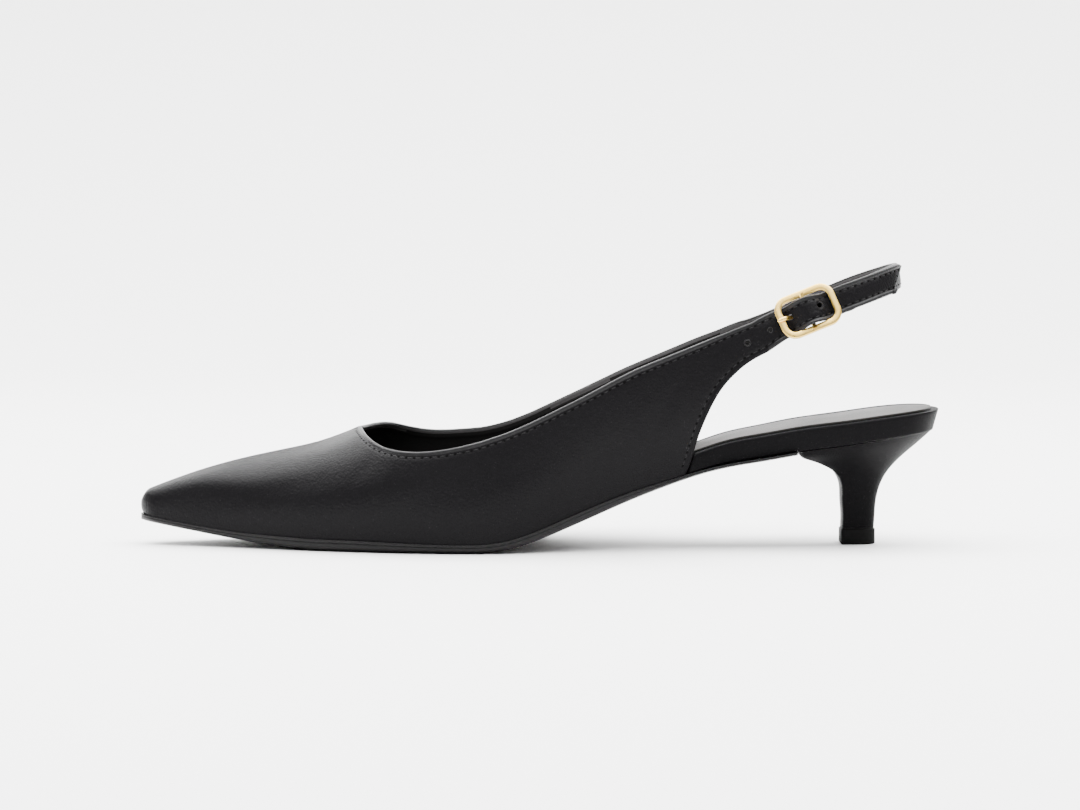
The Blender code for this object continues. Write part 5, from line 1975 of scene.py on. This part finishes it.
def build_heel():
    rows = np.array(HEEL)
    rise = rows[:, :2] * HEEL_RISE + TIP_HEIGHT
    back = HEEL_BACK * LENGTH
    top = [float(seat_line(HEEL_START)), float(seat_line(back)), HEEL_START, back]
    top.append(HEEL_TOP * HALF_BALL)
    neck_front = HEEL_CENTRE - NECK_LENGTH / 2
    neck = [TIP_HEIGHT, TIP_HEIGHT, neck_front, neck_front + NECK_LENGTH, NECK_WIDTH / 2]
    body = np.column_stack([rise, rows[:, 2:4] * LENGTH, rows[:, 4] * HALF_BALL])
    levels = np.vstack([top, body, neck])
    place = np.linspace(0, 1, len(levels))
    curves = [natural_spline(place, levels[:, i]) for i in range(5)]
    rings = []
    for share in np.linspace(0, 1, HEEL_LEVELS):
        low, high, front, back, half = [float(curve(share)) for curve in curves]
        ring = heel_ring(front, back, half, low, high)
        if share == 0:
            ring = [(x, y, float(seat_line(x)) - SEAT_GAP) for x, y, z in ring]
        shift = SEAT_SHIFT * (1 - share) ** 2
        rings.append([(x - HEEL_CENTRE, y - shift, z) for x, y, z in ring])
    made = loft_rings("heel_cover_skin", rings, [leathers["cover_leather"]], crease=46)
    return finish_piece(made, "heel_cover", "heel")


build_heel()

# %% [markdown]
# ## Top piece
#
# A small rubber piece under the heel takes the wear, and a fine groove parts it from the cover. A Bevel
# modifier could round it. Here a short table of heights gives the rounded edge and the groove, and the
# heel's own ring is used again, so that both have one outline.

# %% The top piece
TIP_LENGTH = 0.0116
TIP_WIDTH = 0.0114
TIP_LEVELS = (
    # height, inset
    (0.0, 0.0004),
    (0.00012, 0.00015),
    (0.0004, 0.0),
    (TIP_HEIGHT - 0.0009, 0.0),
    (TIP_HEIGHT - 0.0006, 0.0001),
    (TIP_HEIGHT - 0.0004, 0.0004),
    (TIP_HEIGHT - 0.0001, 0.0004),
)


def build_tip():
    rings = []
    for height, inset in TIP_LEVELS:
        front, back = HEEL_CENTRE - TIP_LENGTH / 2 + inset, HEEL_CENTRE + TIP_LENGTH / 2 - inset
        ring = heel_ring(front, back, TIP_WIDTH / 2 - inset, height, height)
        rings.append([(x - HEEL_CENTRE, y, z) for x, y, z in ring])
    return finish_piece(loft_rings("top_piece", rings, [rubber], crease=50), "rubber", "heel_tip")


build_tip()

# %% [markdown]
# ## Buckle
#
# The frame is a cast wire, flatter than it is wide, with rounded corners and a bar in the middle. A
# curve with a bevel would give a round wire. Rings swept round a rounded rectangle can have a flattened
# section, which gives cast metal its broad highlight.

# %% Frame and bar
BUCKLE_WIDTH = 0.0142
BUCKLE_CORNER = 0.0045
WIRE_WIDTH = 0.0018
WIRE_HEIGHT = 0.0012
WIRE_SWELL = 1.22
WIRE_SQUARE = 0.62
CORNER_STEPS = 18
WIRE_POINTS = 28
BAR_FLARE = 0.5
BAR_FLARE_POWER = 14
BAR_RINGS = 15
BAR_POINTS = 24


def rounded_loop(length, width, corner):
    """Points round a rectangle with round corners, with each point's outward direction."""
    loop = []
    for quarter, (sx, sy) in enumerate(((1, 1), (-1, 1), (-1, -1), (1, -1))):
        for angle in np.linspace(0, math.pi / 2, CORNER_STEPS) + quarter * math.pi / 2:
            direction = Vector((math.cos(angle), math.sin(angle), 0))
            centre = Vector((sx * (length / 2 - corner), sy * (width / 2 - corner), 0))
            loop.append((centre + corner * direction, direction))
    return loop


def squared(value):
    """A sine or cosine drawn towards a square section."""
    return math.copysign(abs(value) ** WIRE_SQUARE, value)


def build_frame():
    to_world = buckle_frame_matrix()
    half_wide, half_high = WIRE_WIDTH / 2, WIRE_HEIGHT / 2
    length, width = BUCKLE_LENGTH - WIRE_WIDTH, BUCKLE_WIDTH - WIRE_WIDTH
    rings = []
    for centre, outward in rounded_loop(length, width, BUCKLE_CORNER - half_wide):
        ring = []
        for angle in full_turn(WIRE_POINTS):
            across = WIRE_SWELL * half_wide * squared(math.cos(angle))
            height = half_high * squared(math.sin(angle))
            ring.append(to_world @ (centre + outward * across + Vector((0, 0, height))))
        rings.append(ring)
    return finish_piece(loft_rings("gold_frame", rings, [gold], closed=True), "pale_gold", "buckle_frame")


def build_bar():
    to_world = buckle_frame_matrix()
    half = (BUCKLE_WIDTH - WIRE_WIDTH) / 2
    rings = []
    for share in np.linspace(-1, 1, BAR_RINGS):
        flare = BAR_RADIUS * (1 + BAR_FLARE * abs(share) ** BAR_FLARE_POWER)
        ring = []
        for angle in full_turn(BAR_POINTS):
            spot = Vector((flare * math.cos(angle), share * half, flare * math.sin(angle)))
            ring.append(to_world @ spot)
        rings.append(ring)
    return finish_piece(loft_rings("gold_bar", rings, [gold]), "pale_gold")


build_frame()
build_bar()

# %% [markdown]
# ## Prong
#
# The prong's eye goes round the bar, and its finger dips under the strap, comes up through the hole and
# lies on the frame's front side. The eye is a flat ring swept round the bar. The finger follows a short
# table of heights, because a straight pin would cut through the leather.

# %% The prong
PRONG_HEIGHT = 0.0010
PRONG_OVERHANG = 0.0006
PRONG_REST = WIRE_HEIGHT / 2 + WRAP_GAP / 3
FRAME_FRONT = -BUCKLE_LENGTH / 2
EYE_INNER = BAR_RADIUS + WRAP_GAP / 3
EYE_OUTER = BAR_RADIUS + 2 * WRAP_GAP / 3 + 0.7 * PRONG_HEIGHT
EYE_MIDDLE, EYE_THICK = (EYE_INNER + EYE_OUTER) / 2, (EYE_OUTER - EYE_INNER) / 2
FINGER = (
    # along, height, size
    (-EYE_MIDDLE, 0.0, 0.62),
    (-0.0030, -0.0004, 0.80),
    (-0.0047, -0.0011, 0.85),
    (-0.0058, -0.0008, 0.90),
    (-0.0067, 0.0002, 1.0),
    (FRAME_FRONT + WIRE_WIDTH + 0.0004, PRONG_REST + 0.42 * PRONG_HEIGHT, 1.0),
    (FRAME_FRONT + WIRE_WIDTH / 2, PRONG_REST + 0.5 * PRONG_HEIGHT, 0.92),
    (FRAME_FRONT - PRONG_OVERHANG, PRONG_REST + 0.36 * PRONG_HEIGHT, 0.62),
)
EYE_RINGS = 40
EYE_POINTS = 16
FINGER_RINGS = 40
FINGER_POINTS = 20
BLUNT = 1e-4
POINT_START, POINT_LENGTH = 0.93, 0.07


def prong_matrix():
    return buckle_frame_matrix() @ Matrix.Translation((0, -BUCKLE_SHIFT, 0))


def build_eye():
    to_world = prong_matrix()
    rings = []
    for angle in full_turn(EYE_RINGS):
        ring = []
        for turn in full_turn(EYE_POINTS):
            radius = EYE_MIDDLE + EYE_THICK * math.cos(turn)
            across = PRONG_WIDTH / 2 * math.sin(turn)
            spot = Vector((radius * math.cos(angle), across, radius * math.sin(angle)))
            ring.append(to_world @ spot)
        rings.append(ring)
    return finish_piece(loft_rings("prong_eye", rings, [gold], closed=True), "pale_gold")


def build_finger():
    to_world = prong_matrix()
    places = np.linspace(0, 1, len(FINGER))
    curves = [natural_spline(places, [row[i] for row in FINGER]) for i in range(3)]
    rings = []
    for share in np.linspace(0, 1, FINGER_RINGS):
        along, height, size = [float(curve(share)) for curve in curves]
        tip = math.sqrt(max(BLUNT, 1 - np.clip((share - POINT_START) / POINT_LENGTH, 0, 1) ** 2))
        ring = []
        for turn in full_turn(FINGER_POINTS):
            wide = PRONG_WIDTH / 2 * size * tip * math.cos(turn)
            high = PRONG_HEIGHT / 2 * size * tip * math.sin(turn)
            ring.append(to_world @ Vector((along, wide, height + high)))
        rings.append(ring)
    made = loft_rings("prong_finger", rings, [gold], crease=70)
    return finish_piece(made, "pale_gold", "buckle_prong")


build_eye()
build_finger()

# %% [markdown]
# ## Floor
#
# The shoe stands on a pale floor. A plane with a far edge would show a horizon. Here the floor sweeps
# up behind the shoe in a quarter round, as a paper roll does in a studio.

# %% The floor
SWEEP_START = 1.0
SWEEP_RADIUS = 0.8
SWEEP_TOP = 3.0
FLOOR_FRONT = -2.5
FLOOR_HALF = 3.5
SWEEP_POINTS = 16


def floor_look():
    look = Look("studio_floor", (0.86, 0.86, 0.86), 0.62, specular=0.35)
    look.feed("Base Color", look.mix(look.noise(3.0), (0.85, 0.85, 0.85), (0.88, 0.88, 0.875)))
    return look.material


def build_floor():
    profile = [(FLOOR_FRONT, 0.0), (SWEEP_START, 0.0)]
    for angle in np.linspace(0, math.pi / 2, SWEEP_POINTS)[1:]:
        back = SWEEP_START + SWEEP_RADIUS * math.sin(angle)
        profile.append((back, SWEEP_RADIUS - SWEEP_RADIUS * math.cos(angle)))
    profile.append((SWEEP_START + SWEEP_RADIUS, SWEEP_TOP))
    verts = [(x, y, z) for x in (-FLOOR_HALF, FLOOR_HALF) for y, z in profile]
    count = len(profile)
    faces = [(i, i + count, i + count + 1, i + 1) for i in range(count - 1)]
    made = new_object("studio_sweep", verts, faces, [floor_look()])
    return made


print(build_floor().name, "is stage, not part of the shoe")

# %% [markdown]
# ## Light and camera
#
# Soft light from above and behind makes the vamp's top glow, and little light from the camera's side
# keeps the leather deep black. Large area lights stand for soft boxes. The camera looks from the outer
# side, a little above the shoe, with a long lens that hardly foreshortens it.

# %% Lights
LOOK_AT = Vector((-0.1055, 0.0, 0.046))
WORLD_STRENGTH = 0.32
LIGHTS = (
    # name, place, size, power
    ("top_soft", (-0.10, 0.15, 1.4), (2.8, 2.0), 250.0),
    ("back_soft", (-0.15, 1.30, 0.85), (2.4, 1.1), 16.0),
    ("toe_soft", (-1.25, -0.15, 0.70), (0.9, 0.9), 5.0),
    ("heel_soft", (1.05, -0.45, 0.65), (0.8, 0.8), 2.5),
    ("front_high", (0.05, -1.4, 1.3), (1.0, 0.5), 13.0),
)


def aim(made, place):
    """Puts a light or a camera in its place and turns it to the shoe."""
    made.location = place
    made.rotation_euler = (LOOK_AT - Vector(place)).to_track_quat("-Z", "Y").to_euler()


for name, place, size, power in LIGHTS:
    data = bpy.data.lights.new(name, "AREA")
    data.shape = "RECTANGLE"
    data.size, data.size_y = size
    data.energy = power
    aim(linked(name, data), place)

world = bpy.data.worlds.new("studio")
bpy.context.scene.world = world
world.use_nodes = True
world.node_tree.nodes["Background"].inputs["Color"].default_value = (1, 1, 1, 1)
world.node_tree.nodes["Background"].inputs["Strength"].default_value = WORLD_STRENGTH
print("lights", len(LIGHTS))

# %% Camera
CAMERA_PLACE = (-0.1055, -1.2, 0.118)

camera_data = bpy.data.cameras.new("camera")
camera_data.lens = 120.8
camera_data.sensor_width = 36.0
camera_data.clip_start = 0.01
camera = linked("camera", camera_data)
aim(camera, CAMERA_PLACE)
bpy.context.scene.camera = camera
print("camera at", CAMERA_PLACE)
